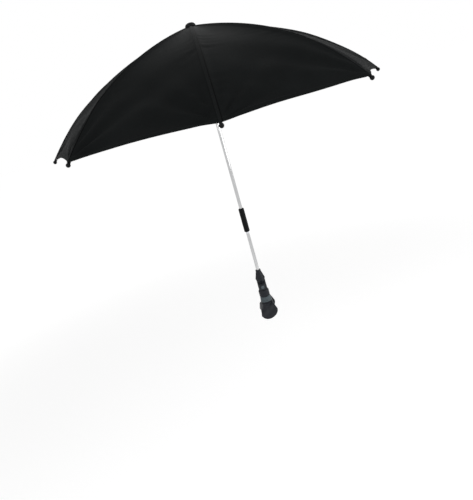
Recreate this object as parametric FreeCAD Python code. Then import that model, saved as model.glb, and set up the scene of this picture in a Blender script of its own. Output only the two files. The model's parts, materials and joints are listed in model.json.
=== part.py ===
import FreeCAD, Part
import math
import os

# Pram parasol: an eight-rib canopy on a jointed mast, with a clamp for a sloping tube.
# Millimetres. Z runs up the mast, the origin is the centre of the clamped tube,
# and -Y is the front, where the knob of the clamp is.

# Shared fits
OVERRUN = 1.0              # how far a cutting shape passes the face that it cuts
RUNNING_FIT = 0.06         # radial clearance of a turning or sliding fit
SEAT_FIT = 0.04            # radial clearance of a fixed fit
SIDE_GAP = 0.3             # clearance beside moving faces

# Clamped tube and jaw
TUBE_RADIUS = 14.0
TUBE_SLOPE_DEG = 31.5      # how far the tube rises towards +X
JAW_WIDTH = 43.0           # across the flared jaw, at its widest
JAW_WALL = 6.0
JAW_LOW_SIDE = 1.0         # height where the jaw's rounded end starts, on the tube's low side
JAW_HIGH_SIDE = 13.0       # and on its high side
JAW_DROP = 9.5             # how far the rounded end reaches below the tube's centre
JAW_CORNER = 2.5           # rounding of the jaw's outer edges
JAW_LIP_DEG = 215.0        # the front wall ends here, counted from the back over the top
LINING_THICKNESS = 2.0
LINING_START_DEG = 84.0
LINING_END_DEG = 211.0
LINING_INSET = 1.0
LUG_INNER = 27.0           # from the tube's centre back to the rear lug
LUG_THICKNESS = 8.0
LUG_DROP = 10.0            # the lug reaches this far below the tube's centre
JAW_RUN = 50.0             # half length of the jaw's profile before its sides are cut
EDGE_MATCH = 0.05          # an edge this near to a surface lies on it
EDGE_SHARES = (0.05, 0.5, 0.95)  # places along an edge where that is tested

# Thumb screw
SCREW_RADIUS = 4.0
SCREW_TIP_RADIUS = 3.0
SCREW_TIP_LENGTH = 1.9
INSERT_RADIUS = 6.5
PAD_RADIUS = 9.0
PAD_THICKNESS = 5.0
PAD_BOSS_RADIUS = 5.5
PAD_BOSS_HEIGHT = 2.0
THUMB_KNOB_OFFSET = 8.0    # free thread between the lug and the knob
THUMB_KNOB_RADIUS = 12.0
THUMB_KNOB_THICKNESS = 11.0
THUMB_KNOB_LOBES = 6
THUMB_KNOB_LOBE_RADIUS = 3.4
THUMB_KNOB_HUB_RADIUS = 7.0
THUMB_KNOB_HUB_HEIGHT = 4.0
THUMB_KNOB_SKIN = 3.0      # plastic over the screw's end

# Swivel between the clamp and the yoke
RIM_RADIUS = 14.0
RIM_BOTTOM = 24.0
RIM_TOP = 31.0
NECK_RADIUS = 11.5
RING_BOTTOM = 34.5
RING_TOP = 48.0
RING_FOOT_RADIUS = 14.0
RING_HEAD_RADIUS = 12.8
RING_EDGE = 0.8
RING_FLUTES = 28
RING_FLUTE_RADIUS = 1.1
RING_FLUTE_DEPTH = 0.5
RING_FLUTE_MARGIN = 3.0
SPIGOT_RADIUS = 8.0
SPIGOT_TOP = 57.0
SWIVEL_BOLT_RADIUS = 2.5
SWIVEL_BOLT_DEPTH = 24.0
SWIVEL_HEAD_RADIUS = 4.6
SWIVEL_HEAD_HEIGHT = 2.6
SWIVEL_HEX_RADIUS = 2.2
SWIVEL_HEX_DEPTH = 1.6

# Yoke and its knuckle
YOKE_RADIUS = 13.0
YOKE_WAIST_RADIUS = 11.6
YOKE_EDGE = 1.2
YOKE_TOP = 65.5
KNUCKLE_HEIGHT = 78.5
KNUCKLE_RADIUS = 10.6
PRONG_THICKNESS = 5.0
TONGUE_THICKNESS = 8.0
TILT_BOLT_RADIUS = 3.0
TILT_HEAD_RADIUS = 7.0
TILT_HEAD_HEIGHT = 3.2
TILT_KNOB_RADIUS = 9.0
TILT_KNOB_THICKNESS = 9.0
TILT_KNOB_EDGE = 2.2
TILT_KNOB_FLUTES = 16
TILT_KNOB_FLUTE_RADIUS = 1.5
TILT_KNOB_FLUTE_DEPTH = 0.7
TILT_KNOB_SKIN = 3.5
CAP_RADIUS = 4.4
CAP_THICKNESS = 1.6
CAP_RISE = 0.7

# Mast socket
SOCKET_TOP = 120.0
SOCKET_MOUTH_RADIUS = 5.8
SOCKET_LIP_RADIUS = 6.4
SOCKET_LIP_HEIGHT = 4.0
SOCKET_FOOT = 93.0
SOCKET_FOOT_RADIUS = 10.4
SOCKET_FLOOR = 90.5
SOCKET_RIBS = 4
SOCKET_RIB_THICKNESS = 1.8
SOCKET_RIB_RISE = 1.4

# Mast, its joint and the locking sleeve
MAST_RADIUS = 4.0
MAST_WALL = 0.8
JOINT_HEIGHT = 230.0
JOINT_SHOULDER = 4.5       # from the joint's axis to the ends of the slot and the tongue
JOINT_BODY = 12.0          # from the joint's axis to the end of each mast tube
JOINT_PLUG = 16.0          # how far each knuckle goes into its tube
JOINT_TONGUE = 3.2
JOINT_PIN_RADIUS = 1.2
SLEEVE_RADIUS = 6.6
SLEEVE_BELOW = 8.0         # how far the sleeve reaches below the joint's axis
SLEEVE_LENGTH = 59.0
SLEEVE_PLAY = 0.9          # wider bore round the joint
SLEEVE_GUIDE = 20.0        # length of the close bore at the top
SLEEVE_EDGE = 1.6
SLEEVE_GRIPS = 4
SLEEVE_GRIP_PITCH = 3.0
SLEEVE_GRIP_DEPTH = 0.35
SLEEVE_GRIP_WIDTH = 1.2

# Crown
CROWN_HEIGHT = 678.0       # height of the ribs' hinge pins
CROWN_PIVOT_RADIUS = 7.5
CROWN_RADIUS = 9.2
CROWN_BELOW = 6.0
CROWN_ABOVE = 4.2
CROWN_ROOF = 2.1           # underside of the roof over the rib ends
CROWN_SLOT_BOTTOM = 5.4
CROWN_MAST_DEPTH = 7.0
WIRE_RADIUS = 0.55
WIRE_GROOVE_GAP = 0.1
TOP_CAP_RADIUS = 11.2
TOP_CAP_SKIRT = 1.7        # how far the rim hangs below the crown's top
TOP_CAP_RISE = 5.2
TOP_CAP_WALL = 1.1

# Ribs: two tangent arcs from the crown to the tip
RIB_COUNT = 8
FRONT_DEG = -90.0          # direction of the first rib
RIB_CROWN_SLOPE_DEG = 10.0
RIB_MIDDLE_SLOPE_DEG = 24.0
RIB_TIP_SLOPE_DEG = 47.0
RIB_INNER_LENGTH = 200.0
RIB_OUTER_LENGTH = 206.0
RIB_WIDTH = 2.6
RIB_DEPTH = 2.2
RIB_WALL = 0.5
RIB_EYE_RADIUS = 1.7
RIB_EYE_GAP = 0.3          # play round the wire, which is curved
BRACKET_DISTANCE = 150.0   # along the rib, from the crown's pin
BRACKET_DROP = 4.0
BRACKET_RADIUS = 1.9
BRACKET_WALL = 0.6
BRACKET_LENGTH = 7.0
RIVET_RADIUS = 0.8
RIVET_HEAD_RADIUS = 1.4
RIVET_HEAD_HEIGHT = 0.5
TIP_BALL_RADIUS = 4.0
TIP_NECK_RADIUS = 2.5
TIP_NECK_LENGTH = 7.0
TIP_REACH = 6.0            # from the rib's end to the ball's centre
TIP_SOCKET_DEPTH = 3.0

# Runner and stretchers
RUNNER_DROP = 92.0         # from the crown's pins down to the runner's, opened
RUNNER_PIVOT_RADIUS = 11.0
RUNNER_FLANGE_RADIUS = 13.2
RUNNER_FLANGE_HEIGHT = 7.0
RUNNER_WIRE_CENTRE = 8.2
RUNNER_TUBE_RADIUS = 6.0
RUNNER_TUBE_LENGTH = 42.0
RUNNER_COLLAR_HEIGHT = 4.0
RUNNER_FOOT_RADIUS = 7.6
RUNNER_FOOT_HEIGHT = 6.0
RUNNER_SLOT_GAP = 0.5
STRETCHER_WIDTH = 2.0
STRETCHER_DEPTH = 3.2
STRETCHER_WALL = 0.5

# Runner catch, a leaf spring in the mast
CATCH_REACH = 2.6          # how far it stands out of the mast
CATCH_LENGTH = 16.0
CATCH_THICKNESS = 1.4
CATCH_LEAF = 0.8
CATCH_TAIL = 12.0
CATCH_SLOT_GAP = 0.3
CATCH_DEG = -112.5         # between two ribs

# Canopy cloth
CLOTH_THICKNESS = 0.7
CLOTH_GAP = 0.75           # over the middle of the rib, so that the cloth clears its edges
CLOTH_INNER_LENGTH = 2.9   # the cloth starts this far along the rib
CLOTH_HEM_MARGIN = 2.0     # and ends this far before the rib does
CLOTH_HEM_RISE = 7.0       # how far the hem is drawn in between two ribs
CLOTH_SAG = 5.0            # how far the cloth dips between two ribs
PANEL_GAP = 0.3

ORIGIN = FreeCAD.Vector()
X_AXIS = FreeCAD.Vector(1, 0, 0)
Y_AXIS = FreeCAD.Vector(0, 1, 0)
Z_AXIS = FreeCAD.Vector(0, 0, 1)
FULL_TURN = 360.0


def point(x, y, z):
    """A place, in millimetres."""
    return FreeCAD.Vector(x, y, z)


def export(shape, name):
    """Write one piece under its own name."""
    shape.exportStep("parts/" + name + ".step")


def face_of(points):
    """A flat face with straight edges through the points."""
    return Part.Face(Part.makePolygon(points + points[:1]))


def turned(outline):
    """Turn an outline of (radius, height) pairs about Z."""
    return face_of([point(r, 0, z) for r, z in outline]).revolve(ORIGIN, Z_AXIS, FULL_TURN)


def drum(radius, bottom, top):
    """An upright cylinder."""
    return Part.makeCylinder(radius, top - bottom, point(0, 0, bottom))


def pin(radius, y_from, y_to, height=0.0):
    """A cylinder along Y, at the given height on the axis."""
    return Part.makeCylinder(radius, y_to - y_from, point(0, y_from, height), Y_AXIS)


def block(x_from, x_to, y_from, y_to, z_from, z_to):
    """A box between two corners."""
    return Part.makeBox(x_to - x_from, y_to - y_from, z_to - z_from, point(x_from, y_from, z_from))


def spun(shape, count, axis=Z_AXIS, centre=ORIGIN):
    """Copies of a shape, evenly spaced round an axis, as one compound."""
    copies = []
    for index in range(count):
        copy = shape.copy()
        copy.rotate(centre, axis, FULL_TURN * index / count)
        copies.append(copy)
    return Part.makeCompound(copies)


def up_at(slope_deg):
    """Direction square to a rib where it falls by the given slope."""
    slope = math.radians(slope_deg)
    return point(math.sin(slope), 0, math.cos(slope))


def set_on_slope(shape, base, slope_deg):
    """Turn a shape made along X so that it falls by the slope, and move it to its place."""
    shape.rotate(ORIGIN, Y_AXIS, slope_deg)
    shape.translate(base)
    return shape


def at_rib(shape, index):
    """Turn a shape made in the XZ plane to one of the ribs."""
    shape.rotate(ORIGIN, Z_AXIS, FRONT_DEG + FULL_TURN * index / RIB_COUNT)
    return shape


class RibLine:
    """The rib's middle line: two tangent arcs in the XZ plane.

    A place on it is given by its length along the line from the crown's pin,
    and a lift square to it.
    """

    def __init__(self):
        inner_turn = math.radians(RIB_MIDDLE_SLOPE_DEG - RIB_CROWN_SLOPE_DEG)
        outer_turn = math.radians(RIB_TIP_SLOPE_DEG - RIB_MIDDLE_SLOPE_DEG)
        self.length = RIB_INNER_LENGTH + RIB_OUTER_LENGTH
        self.inner_radius = RIB_INNER_LENGTH / inner_turn
        self.outer_radius = RIB_OUTER_LENGTH / outer_turn
        self.start = point(CROWN_PIVOT_RADIUS, 0, CROWN_HEIGHT)
        self.inner_centre = self.start - up_at(RIB_CROWN_SLOPE_DEG) * self.inner_radius
        bend = self.inner_centre + up_at(RIB_MIDDLE_SLOPE_DEG) * self.inner_radius
        self.outer_centre = bend - up_at(RIB_MIDDLE_SLOPE_DEG) * self.outer_radius

    def slope_deg(self, length):
        """Slope below the level, at a length along the line."""
        if length <= RIB_INNER_LENGTH:
            return RIB_CROWN_SLOPE_DEG + math.degrees(length / self.inner_radius)
        past = length - RIB_INNER_LENGTH
        return RIB_MIDDLE_SLOPE_DEG + math.degrees(past / self.outer_radius)

    def place(self, length, lift=0.0):
        """Point at a length along the line, lifted square to it."""
        slope = self.slope_deg(length)
        if length <= RIB_INNER_LENGTH:
            return self.inner_centre + up_at(slope) * (self.inner_radius + lift)
        return self.outer_centre + up_at(slope) * (self.outer_radius + lift)

    def sweep(self, outline):
        """Carry an outline of (y, lift) pairs along the whole line."""
        runs = (
            (self.inner_centre, self.inner_radius, RIB_CROWN_SLOPE_DEG, RIB_MIDDLE_SLOPE_DEG),
            (self.outer_centre, self.outer_radius, RIB_MIDDLE_SLOPE_DEG, RIB_TIP_SLOPE_DEG),
        )
        solids = []
        for centre, radius, first, last in runs:
            corners = [centre + up_at(first) * (radius + lift) + Y_AXIS * y for y, lift in outline]
            solids.append(face_of(corners).revolve(centre, Y_AXIS, last - first))
        return solids[0].fuse(solids[1])


RIB_LINE = RibLine()
BRACKET_PIN = RIB_LINE.place(BRACKET_DISTANCE, -BRACKET_DROP)
RUNNER_HEIGHT = CROWN_HEIGHT - RUNNER_DROP
RUNNER_PIN = point(RUNNER_PIVOT_RADIUS, 0, RUNNER_HEIGHT)


def tube_frame(shape):
    """Turn a shape made round the X axis to the sloping tube."""
    shape.rotate(ORIGIN, Y_AXIS, -TUBE_SLOPE_DEG)
    return shape


def about_tube(radius, angle_deg):
    """Point in the plane square to the tube, counted from the back over the top."""
    angle = math.radians(angle_deg)
    return point(0, radius * math.cos(angle), radius * math.sin(angle))


def tube_arc(radius, first_deg, last_deg):
    """Arc round the tube, between two angles."""
    middle = (first_deg + last_deg) / 2
    ends = [about_tube(radius, angle) for angle in (first_deg, middle, last_deg)]
    return Part.Arc(*ends).toShape()


def along_tube(edges, half_length):
    """Extrude a closed outline along the tube, both ways."""
    face = Part.Face(Part.Wire(edges))
    face.translate(X_AXIS * -half_length)
    return tube_frame(face.extrude(X_AXIS * (2 * half_length)))


def jaw_outline(inset):
    """Prism along Y that gives the jaw its flared sides and its rounded end."""
    half = JAW_WIDTH / 2 - inset
    low = point(-half, 0, JAW_LOW_SIDE + inset)
    high = point(half, 0, JAW_HIGH_SIDE + inset)
    shoulder = RIM_RADIUS - inset
    edges = [
        Part.Arc(low, point(0, 0, inset - JAW_DROP), high).toShape(),
        Part.makeLine(high, point(shoulder, 0, RIM_TOP)),
        Part.makeLine(point(shoulder, 0, RIM_TOP), point(-shoulder, 0, RIM_TOP)),
        Part.makeLine(point(-shoulder, 0, RIM_TOP), low),
    ]
    face = Part.Face(Part.Wire(edges))
    face.translate(Y_AXIS * -JAW_RUN)
    return face.extrude(Y_AXIS * (2 * JAW_RUN))


def off_tube(place):
    """Distance of a point from the tube's centre line."""
    slope = math.radians(TUBE_SLOPE_DEG)
    along = point(math.cos(slope), 0, math.sin(slope))
    return (place - along * place.dot(along)).Length


def on_jaw_front(edge):
    """Whether an edge lies on the outer wall of the jaw, in front of the tube."""
    first, last = edge.ParameterRange
    places = [edge.valueAt(first + (last - first) * share) for share in EDGE_SHARES]
    outer = TUBE_RADIUS + LINING_THICKNESS + JAW_WALL
    return all(abs(off_tube(p) - outer) < EDGE_MATCH and p.y < 0 for p in places)


def make_clamp_body():
    """Hooked jaw with its rear lug, the rim below the swivel ring, and the spigot."""
    bore = TUBE_RADIUS + LINING_THICKNESS
    outer = bore + JAW_WALL
    lug_back = LUG_INNER + LUG_THICKNESS
    top_out = about_tube(outer, 90)
    top_in = about_tube(bore, 90)
    path = [
        top_out,
        point(0, lug_back, outer),
        point(0, lug_back, -LUG_DROP),
        point(0, LUG_INNER, -LUG_DROP),
        point(0, LUG_INNER, bore),
        top_in,
    ]
    edges = [Part.makeLine(a, b) for a, b in zip(path[:-1], path[1:])]
    edges.append(tube_arc(bore, 90, JAW_LIP_DEG))
    edges.append(Part.makeLine(about_tube(bore, JAW_LIP_DEG), about_tube(outer, JAW_LIP_DEG)))
    edges.append(tube_arc(outer, JAW_LIP_DEG, 90))
    jaw = along_tube(Part.__sortEdges__(edges), JAW_RUN)
    jaw = jaw.common(jaw_outline(0))
    jaw = jaw.makeFillet(JAW_CORNER, [edge for edge in jaw.Edges if on_jaw_front(edge)])

    edge = (RIM_TOP - RIM_BOTTOM) / 4
    column = turned([
        (0, JAW_LOW_SIDE), (JAW_WIDTH / 2, JAW_LOW_SIDE), (RIM_RADIUS, RIM_BOTTOM),
        (RIM_RADIUS, RIM_TOP - edge), (RIM_RADIUS - edge, RIM_TOP),
        (NECK_RADIUS, RIM_TOP), (NECK_RADIUS, RING_BOTTOM), (SPIGOT_RADIUS, RING_BOTTOM),
        (SPIGOT_RADIUS, SPIGOT_TOP), (0, SPIGOT_TOP),
    ])
    hollow = tube_frame(Part.makeCylinder(bore, 2 * JAW_RUN, point(-JAW_RUN, 0, 0), X_AXIS))
    under_roof = tube_frame(block(-JAW_RUN, JAW_RUN, 0, LUG_INNER, -JAW_RUN, bore))
    body = jaw.fuse(column.cut(hollow).cut(under_roof)).removeSplitter()

    bolt_hole = drum(SWIVEL_BOLT_RADIUS + SEAT_FIT, SPIGOT_TOP - SWIVEL_BOLT_DEPTH, SPIGOT_TOP + OVERRUN)
    insert_hole = pin(INSERT_RADIUS + SEAT_FIT, LUG_INNER - OVERRUN, lug_back + OVERRUN)
    return body.cut(bolt_hole).cut(insert_hole)


def make_jaw_lining():
    """Rubber lining of the jaw, which the tube lies against."""
    outer = TUBE_RADIUS + LINING_THICKNESS
    edges = [
        tube_arc(TUBE_RADIUS, LINING_START_DEG, LINING_END_DEG),
        Part.makeLine(about_tube(TUBE_RADIUS, LINING_END_DEG), about_tube(outer, LINING_END_DEG)),
        tube_arc(outer, LINING_END_DEG, LINING_START_DEG),
        Part.makeLine(about_tube(outer, LINING_START_DEG), about_tube(TUBE_RADIUS, LINING_START_DEG)),
    ]
    lining = along_tube(Part.__sortEdges__(edges), JAW_RUN)
    return lining.common(jaw_outline(LINING_INSET))


def make_screw_insert():
    """Threaded insert in the rear lug."""
    sleeve = pin(INSERT_RADIUS, LUG_INNER, LUG_INNER + LUG_THICKNESS)
    bore = pin(SCREW_RADIUS + RUNNING_FIT, LUG_INNER - OVERRUN, LUG_INNER + LUG_THICKNESS + OVERRUN)
    return sleeve.cut(bore)


def make_pressure_pad():
    """Round pad that the thumb screw pushes against the back of the tube."""
    front = TUBE_RADIUS + SIDE_GAP
    back = front + PAD_THICKNESS
    disc = pin(PAD_RADIUS, front, back)
    boss = pin(PAD_BOSS_RADIUS, back, back + PAD_BOSS_HEIGHT)
    tip_hole = pin(SCREW_TIP_RADIUS + RUNNING_FIT, back, back + PAD_BOSS_HEIGHT + OVERRUN)
    return disc.fuse(boss).removeSplitter().cut(tip_hole)


def thumb_knob_start():
    """Distance from the tube's centre back to the thumb knob's hub."""
    return LUG_INNER + LUG_THICKNESS + THUMB_KNOB_OFFSET


def thumb_knob_end():
    """Distance from the tube's centre back to the thumb knob's outer face."""
    return thumb_knob_start() + THUMB_KNOB_HUB_HEIGHT + THUMB_KNOB_THICKNESS


def make_thumb_screw():
    """Shank of the thumb screw, with the plain tip that turns in the pad."""
    seat = TUBE_RADIUS + SIDE_GAP + PAD_THICKNESS + PAD_BOSS_HEIGHT
    tip = pin(SCREW_TIP_RADIUS, seat - SCREW_TIP_LENGTH, seat + SIDE_GAP)
    shank = pin(SCREW_RADIUS, seat + SIDE_GAP, thumb_knob_end() - THUMB_KNOB_SKIN)
    return tip.fuse(shank)


def make_thumb_knob():
    """Lobed hand knob moulded on the end of the thumb screw."""
    start = thumb_knob_start()
    hub = pin(THUMB_KNOB_HUB_RADIUS, start, start + THUMB_KNOB_HUB_HEIGHT)
    rim_start = start + THUMB_KNOB_HUB_HEIGHT
    disc = pin(THUMB_KNOB_RADIUS, rim_start, thumb_knob_end())
    lobe = pin(THUMB_KNOB_LOBE_RADIUS, rim_start, thumb_knob_end())
    lobe.translate(X_AXIS * THUMB_KNOB_RADIUS)
    knob = hub.fuse(disc).fuse(spun(lobe, THUMB_KNOB_LOBES, Y_AXIS).Solids).removeSplitter()
    bore = pin(SCREW_RADIUS + SEAT_FIT, start - OVERRUN, thumb_knob_end() - THUMB_KNOB_SKIN)
    return knob.cut(bore)


def make_swivel_ring():
    """Fluted ring between the clamp's rim and the yoke."""
    ring = turned([
        (SPIGOT_RADIUS + SEAT_FIT, RING_BOTTOM),
        (RING_FOOT_RADIUS - RING_EDGE, RING_BOTTOM),
        (RING_FOOT_RADIUS, RING_BOTTOM + RING_EDGE),
        (RING_HEAD_RADIUS, RING_TOP - RING_EDGE),
        (RING_HEAD_RADIUS - RING_EDGE, RING_TOP),
        (SPIGOT_RADIUS + SEAT_FIT, RING_TOP),
    ])
    middle = (RING_FOOT_RADIUS + RING_HEAD_RADIUS) / 2
    flute = drum(RING_FLUTE_RADIUS, RING_BOTTOM + RING_FLUTE_MARGIN, RING_TOP - RING_FLUTE_MARGIN)
    flute.translate(X_AXIS * (middle + RING_FLUTE_RADIUS - RING_FLUTE_DEPTH))
    return ring.cut(spun(flute, RING_FLUTES).Solids)


def make_swivel_bolt():
    """Socket-head bolt that holds the yoke down on its spigot."""
    head_bottom = YOKE_TOP - SWIVEL_HEAD_HEIGHT
    head = drum(SWIVEL_HEAD_RADIUS, head_bottom, YOKE_TOP)
    shank = drum(SWIVEL_BOLT_RADIUS, SPIGOT_TOP - SWIVEL_BOLT_DEPTH, head_bottom)
    hexagon = [up_at(FULL_TURN * k / 6) * SWIVEL_HEX_RADIUS for k in range(6)]
    flat = [point(p.x, p.z, YOKE_TOP - SWIVEL_HEX_DEPTH) for p in hexagon]
    key_hole = face_of(flat).extrude(Z_AXIS * (SWIVEL_HEX_DEPTH + OVERRUN))
    return head.fuse(shank).cut(key_hole)


def prong_inside():
    """Half width of the gap between the yoke's prongs."""
    return TONGUE_THICKNESS / 2 + SIDE_GAP


def prong_outside():
    """Distance from the middle to the outer face of a prong."""
    return prong_inside() + PRONG_THICKNESS


def make_yoke():
    """Round base on the swivel, with two rounded prongs for the knuckle."""
    bottom = RING_TOP + SIDE_GAP
    base = turned([
        (0, bottom), (YOKE_RADIUS - YOKE_EDGE, bottom), (YOKE_RADIUS, bottom + YOKE_EDGE),
        (YOKE_RADIUS, YOKE_TOP - 2 * YOKE_EDGE), (YOKE_WAIST_RADIUS, YOKE_TOP), (0, YOKE_TOP),
    ])
    wide = prong_outside()
    plate = pin(KNUCKLE_RADIUS, -wide, wide, KNUCKLE_HEIGHT)
    plate = plate.fuse(block(-KNUCKLE_RADIUS, KNUCKLE_RADIUS, -wide, wide, bottom + YOKE_EDGE, KNUCKLE_HEIGHT))
    reach = math.hypot(YOKE_RADIUS, SIDE_GAP)
    plate = plate.common(drum(reach, bottom, KNUCKLE_HEIGHT + KNUCKLE_RADIUS))
    gap = block(
        -YOKE_RADIUS - OVERRUN, YOKE_RADIUS + OVERRUN, -prong_inside(), prong_inside(),
        YOKE_TOP, KNUCKLE_HEIGHT + KNUCKLE_RADIUS + OVERRUN,
    )
    yoke = base.fuse(plate.cut(gap)).removeSplitter()
    spigot_hole = drum(SPIGOT_RADIUS + RUNNING_FIT, bottom - OVERRUN, SPIGOT_TOP + SIDE_GAP)
    bolt_hole = drum(SWIVEL_BOLT_RADIUS + RUNNING_FIT, bottom, YOKE_TOP + OVERRUN)
    head_hole = drum(SWIVEL_HEAD_RADIUS + SIDE_GAP, YOKE_TOP - SWIVEL_HEAD_HEIGHT, YOKE_TOP + OVERRUN)
    pin_hole = pin(TILT_BOLT_RADIUS + SEAT_FIT, -wide - OVERRUN, wide + OVERRUN, KNUCKLE_HEIGHT)
    return yoke.cut(spigot_hole).cut(bolt_hole).cut(head_hole).cut(pin_hole)


def tilt_knob_face():
    """Distance from the middle to the back face of the tilt knob, towards -Y."""
    return prong_outside() + SIDE_GAP


def make_tilt_bolt():
    """Round-headed bolt through the knuckle, with its head at the back."""
    wide = prong_outside()
    tip = tilt_knob_face() + TILT_KNOB_THICKNESS - TILT_KNOB_SKIN
    shank = pin(TILT_BOLT_RADIUS, -tip, wide, KNUCKLE_HEIGHT)
    dome = turned([(0, 0), (TILT_HEAD_RADIUS, 0), (TILT_HEAD_RADIUS, TILT_HEAD_HEIGHT / 3),
                   (TILT_HEAD_RADIUS * 2 / 3, TILT_HEAD_HEIGHT), (0, TILT_HEAD_HEIGHT)])
    dome.rotate(ORIGIN, X_AXIS, -FULL_TURN / 4)
    dome.translate(point(0, wide, KNUCKLE_HEIGHT))
    return shank.fuse(dome)


def front_facing(shape, back):
    """Turn a shape made up Z to face -Y, and set it on the knuckle's axis."""
    shape.rotate(ORIGIN, X_AXIS, FULL_TURN / 4)
    shape.translate(point(0, -back, KNUCKLE_HEIGHT))
    return shape


def make_tilt_knob():
    """Round knob with a fluted edge and a recess for its cap."""
    knob = turned([
        (0, 0), (TILT_KNOB_RADIUS - TILT_KNOB_EDGE / 2, 0), (TILT_KNOB_RADIUS, TILT_KNOB_EDGE / 2),
        (TILT_KNOB_RADIUS, TILT_KNOB_THICKNESS - TILT_KNOB_EDGE),
        (TILT_KNOB_RADIUS - TILT_KNOB_EDGE, TILT_KNOB_THICKNESS), (0, TILT_KNOB_THICKNESS),
    ])
    flute = drum(TILT_KNOB_FLUTE_RADIUS, -OVERRUN, TILT_KNOB_THICKNESS + OVERRUN)
    flute.translate(X_AXIS * (TILT_KNOB_RADIUS + TILT_KNOB_FLUTE_RADIUS - TILT_KNOB_FLUTE_DEPTH))
    bolt_hole = drum(TILT_BOLT_RADIUS + RUNNING_FIT, -OVERRUN, TILT_KNOB_THICKNESS - TILT_KNOB_SKIN)
    recess = drum(CAP_RADIUS + SEAT_FIT, TILT_KNOB_THICKNESS - CAP_THICKNESS, TILT_KNOB_THICKNESS + OVERRUN)
    knob = knob.cut(spun(flute, TILT_KNOB_FLUTES).Solids).cut(bolt_hole).cut(recess)
    return front_facing(knob, tilt_knob_face())


def make_knob_cap():
    """Light round cap in the knob's face."""
    bottom = TILT_KNOB_THICKNESS - CAP_THICKNESS
    cap = turned([
        (0, bottom), (CAP_RADIUS, bottom), (CAP_RADIUS, TILT_KNOB_THICKNESS),
        (CAP_RADIUS - CAP_RISE, TILT_KNOB_THICKNESS + CAP_RISE), (0, TILT_KNOB_THICKNESS + CAP_RISE),
    ])
    return front_facing(cap, tilt_knob_face())


def make_mast_socket():
    """Tapered socket for the mast, on a flat tongue for the knuckle."""
    cone = turned([
        (0, SOCKET_FLOOR - OVERRUN), (SOCKET_FOOT_RADIUS - OVERRUN, SOCKET_FLOOR - OVERRUN),
        (SOCKET_FOOT_RADIUS, SOCKET_FOOT), (SOCKET_MOUTH_RADIUS, SOCKET_TOP - SOCKET_LIP_HEIGHT),
        (SOCKET_LIP_RADIUS, SOCKET_TOP - SOCKET_LIP_HEIGHT), (SOCKET_LIP_RADIUS, SOCKET_TOP), (0, SOCKET_TOP),
    ])
    half = TONGUE_THICKNESS / 2
    tongue = pin(KNUCKLE_RADIUS, -half, half, KNUCKLE_HEIGHT)
    tongue = tongue.fuse(block(-SOCKET_FOOT_RADIUS, SOCKET_FOOT_RADIUS, -half, half, KNUCKLE_HEIGHT, SOCKET_FOOT))
    fin = face_of([
        point(0, 0, SOCKET_FOOT), point(SOCKET_FOOT_RADIUS, 0, SOCKET_FOOT),
        point(SOCKET_FOOT_RADIUS + SOCKET_RIB_RISE, 0, SOCKET_FOOT + SOCKET_LIP_HEIGHT),
        point(SOCKET_LIP_RADIUS, 0, SOCKET_TOP - SOCKET_LIP_HEIGHT), point(0, 0, SOCKET_TOP - SOCKET_LIP_HEIGHT),
    ])
    fin.translate(Y_AXIS * (-SOCKET_RIB_THICKNESS / 2))
    fins = spun(fin.extrude(Y_AXIS * SOCKET_RIB_THICKNESS), SOCKET_RIBS).Solids
    body = cone.fuse(tongue).fuse(fins).removeSplitter()
    bore = drum(MAST_RADIUS + SEAT_FIT, SOCKET_FLOOR, SOCKET_TOP + OVERRUN)
    pin_hole = pin(TILT_BOLT_RADIUS + RUNNING_FIT, -half - OVERRUN, half + OVERRUN, KNUCKLE_HEIGHT)
    return body.cut(bore).cut(pin_hole)


def mast_tube(bottom, top):
    """Thin-walled mast tube between two heights."""
    return drum(MAST_RADIUS, bottom, top).cut(drum(MAST_RADIUS - MAST_WALL, bottom - OVERRUN, top + OVERRUN))


def make_lower_mast():
    """Lower length of the mast, from the socket to the joint."""
    return mast_tube(SOCKET_FLOOR, JOINT_HEIGHT - JOINT_BODY)


def make_upper_mast():
    """Upper length of the mast, slotted for the runner catch."""
    top = CROWN_HEIGHT - CROWN_BELOW + CROWN_MAST_DEPTH
    tube = mast_tube(JOINT_HEIGHT + JOINT_BODY, top)
    half = CATCH_THICKNESS / 2 + CATCH_SLOT_GAP
    slot = block(0, MAST_RADIUS + OVERRUN, -half, half, catch_top() - CATCH_LENGTH - CATCH_SLOT_GAP,
                 catch_top() + CATCH_SLOT_GAP)
    slot.rotate(ORIGIN, Z_AXIS, CATCH_DEG)
    return tube.cut(slot)


def joint_half(sign):
    """Plug and round body of one knuckle, above the joint's axis or below it."""
    near = JOINT_HEIGHT + sign * JOINT_SHOULDER
    body_end = JOINT_HEIGHT + sign * JOINT_BODY
    plug_end = body_end + sign * JOINT_PLUG
    body = drum(MAST_RADIUS, min(near, body_end), max(near, body_end))
    plug = drum(MAST_RADIUS - MAST_WALL - SEAT_FIT, min(body_end, plug_end), max(body_end, plug_end))
    return body.fuse(plug)


def make_upper_knuckle():
    """Fork at the foot of the upper mast."""
    prongs = drum(MAST_RADIUS, JOINT_HEIGHT - MAST_RADIUS, JOINT_HEIGHT + JOINT_SHOULDER)
    round_end = pin(MAST_RADIUS, -MAST_RADIUS, MAST_RADIUS, JOINT_HEIGHT)
    straight = drum(MAST_RADIUS, JOINT_HEIGHT, JOINT_HEIGHT + JOINT_SHOULDER)
    prongs = prongs.common(round_end.fuse(straight))
    half = JOINT_TONGUE / 2 + SIDE_GAP / 2
    slot = block(-MAST_RADIUS - OVERRUN, MAST_RADIUS + OVERRUN, -half, half,
                 JOINT_HEIGHT - MAST_RADIUS - OVERRUN, JOINT_HEIGHT + JOINT_SHOULDER)
    fork = joint_half(1).fuse(prongs.cut(slot)).removeSplitter()
    return fork.cut(pin(JOINT_PIN_RADIUS + RUNNING_FIT, -MAST_RADIUS - OVERRUN, MAST_RADIUS + OVERRUN, JOINT_HEIGHT))


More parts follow.
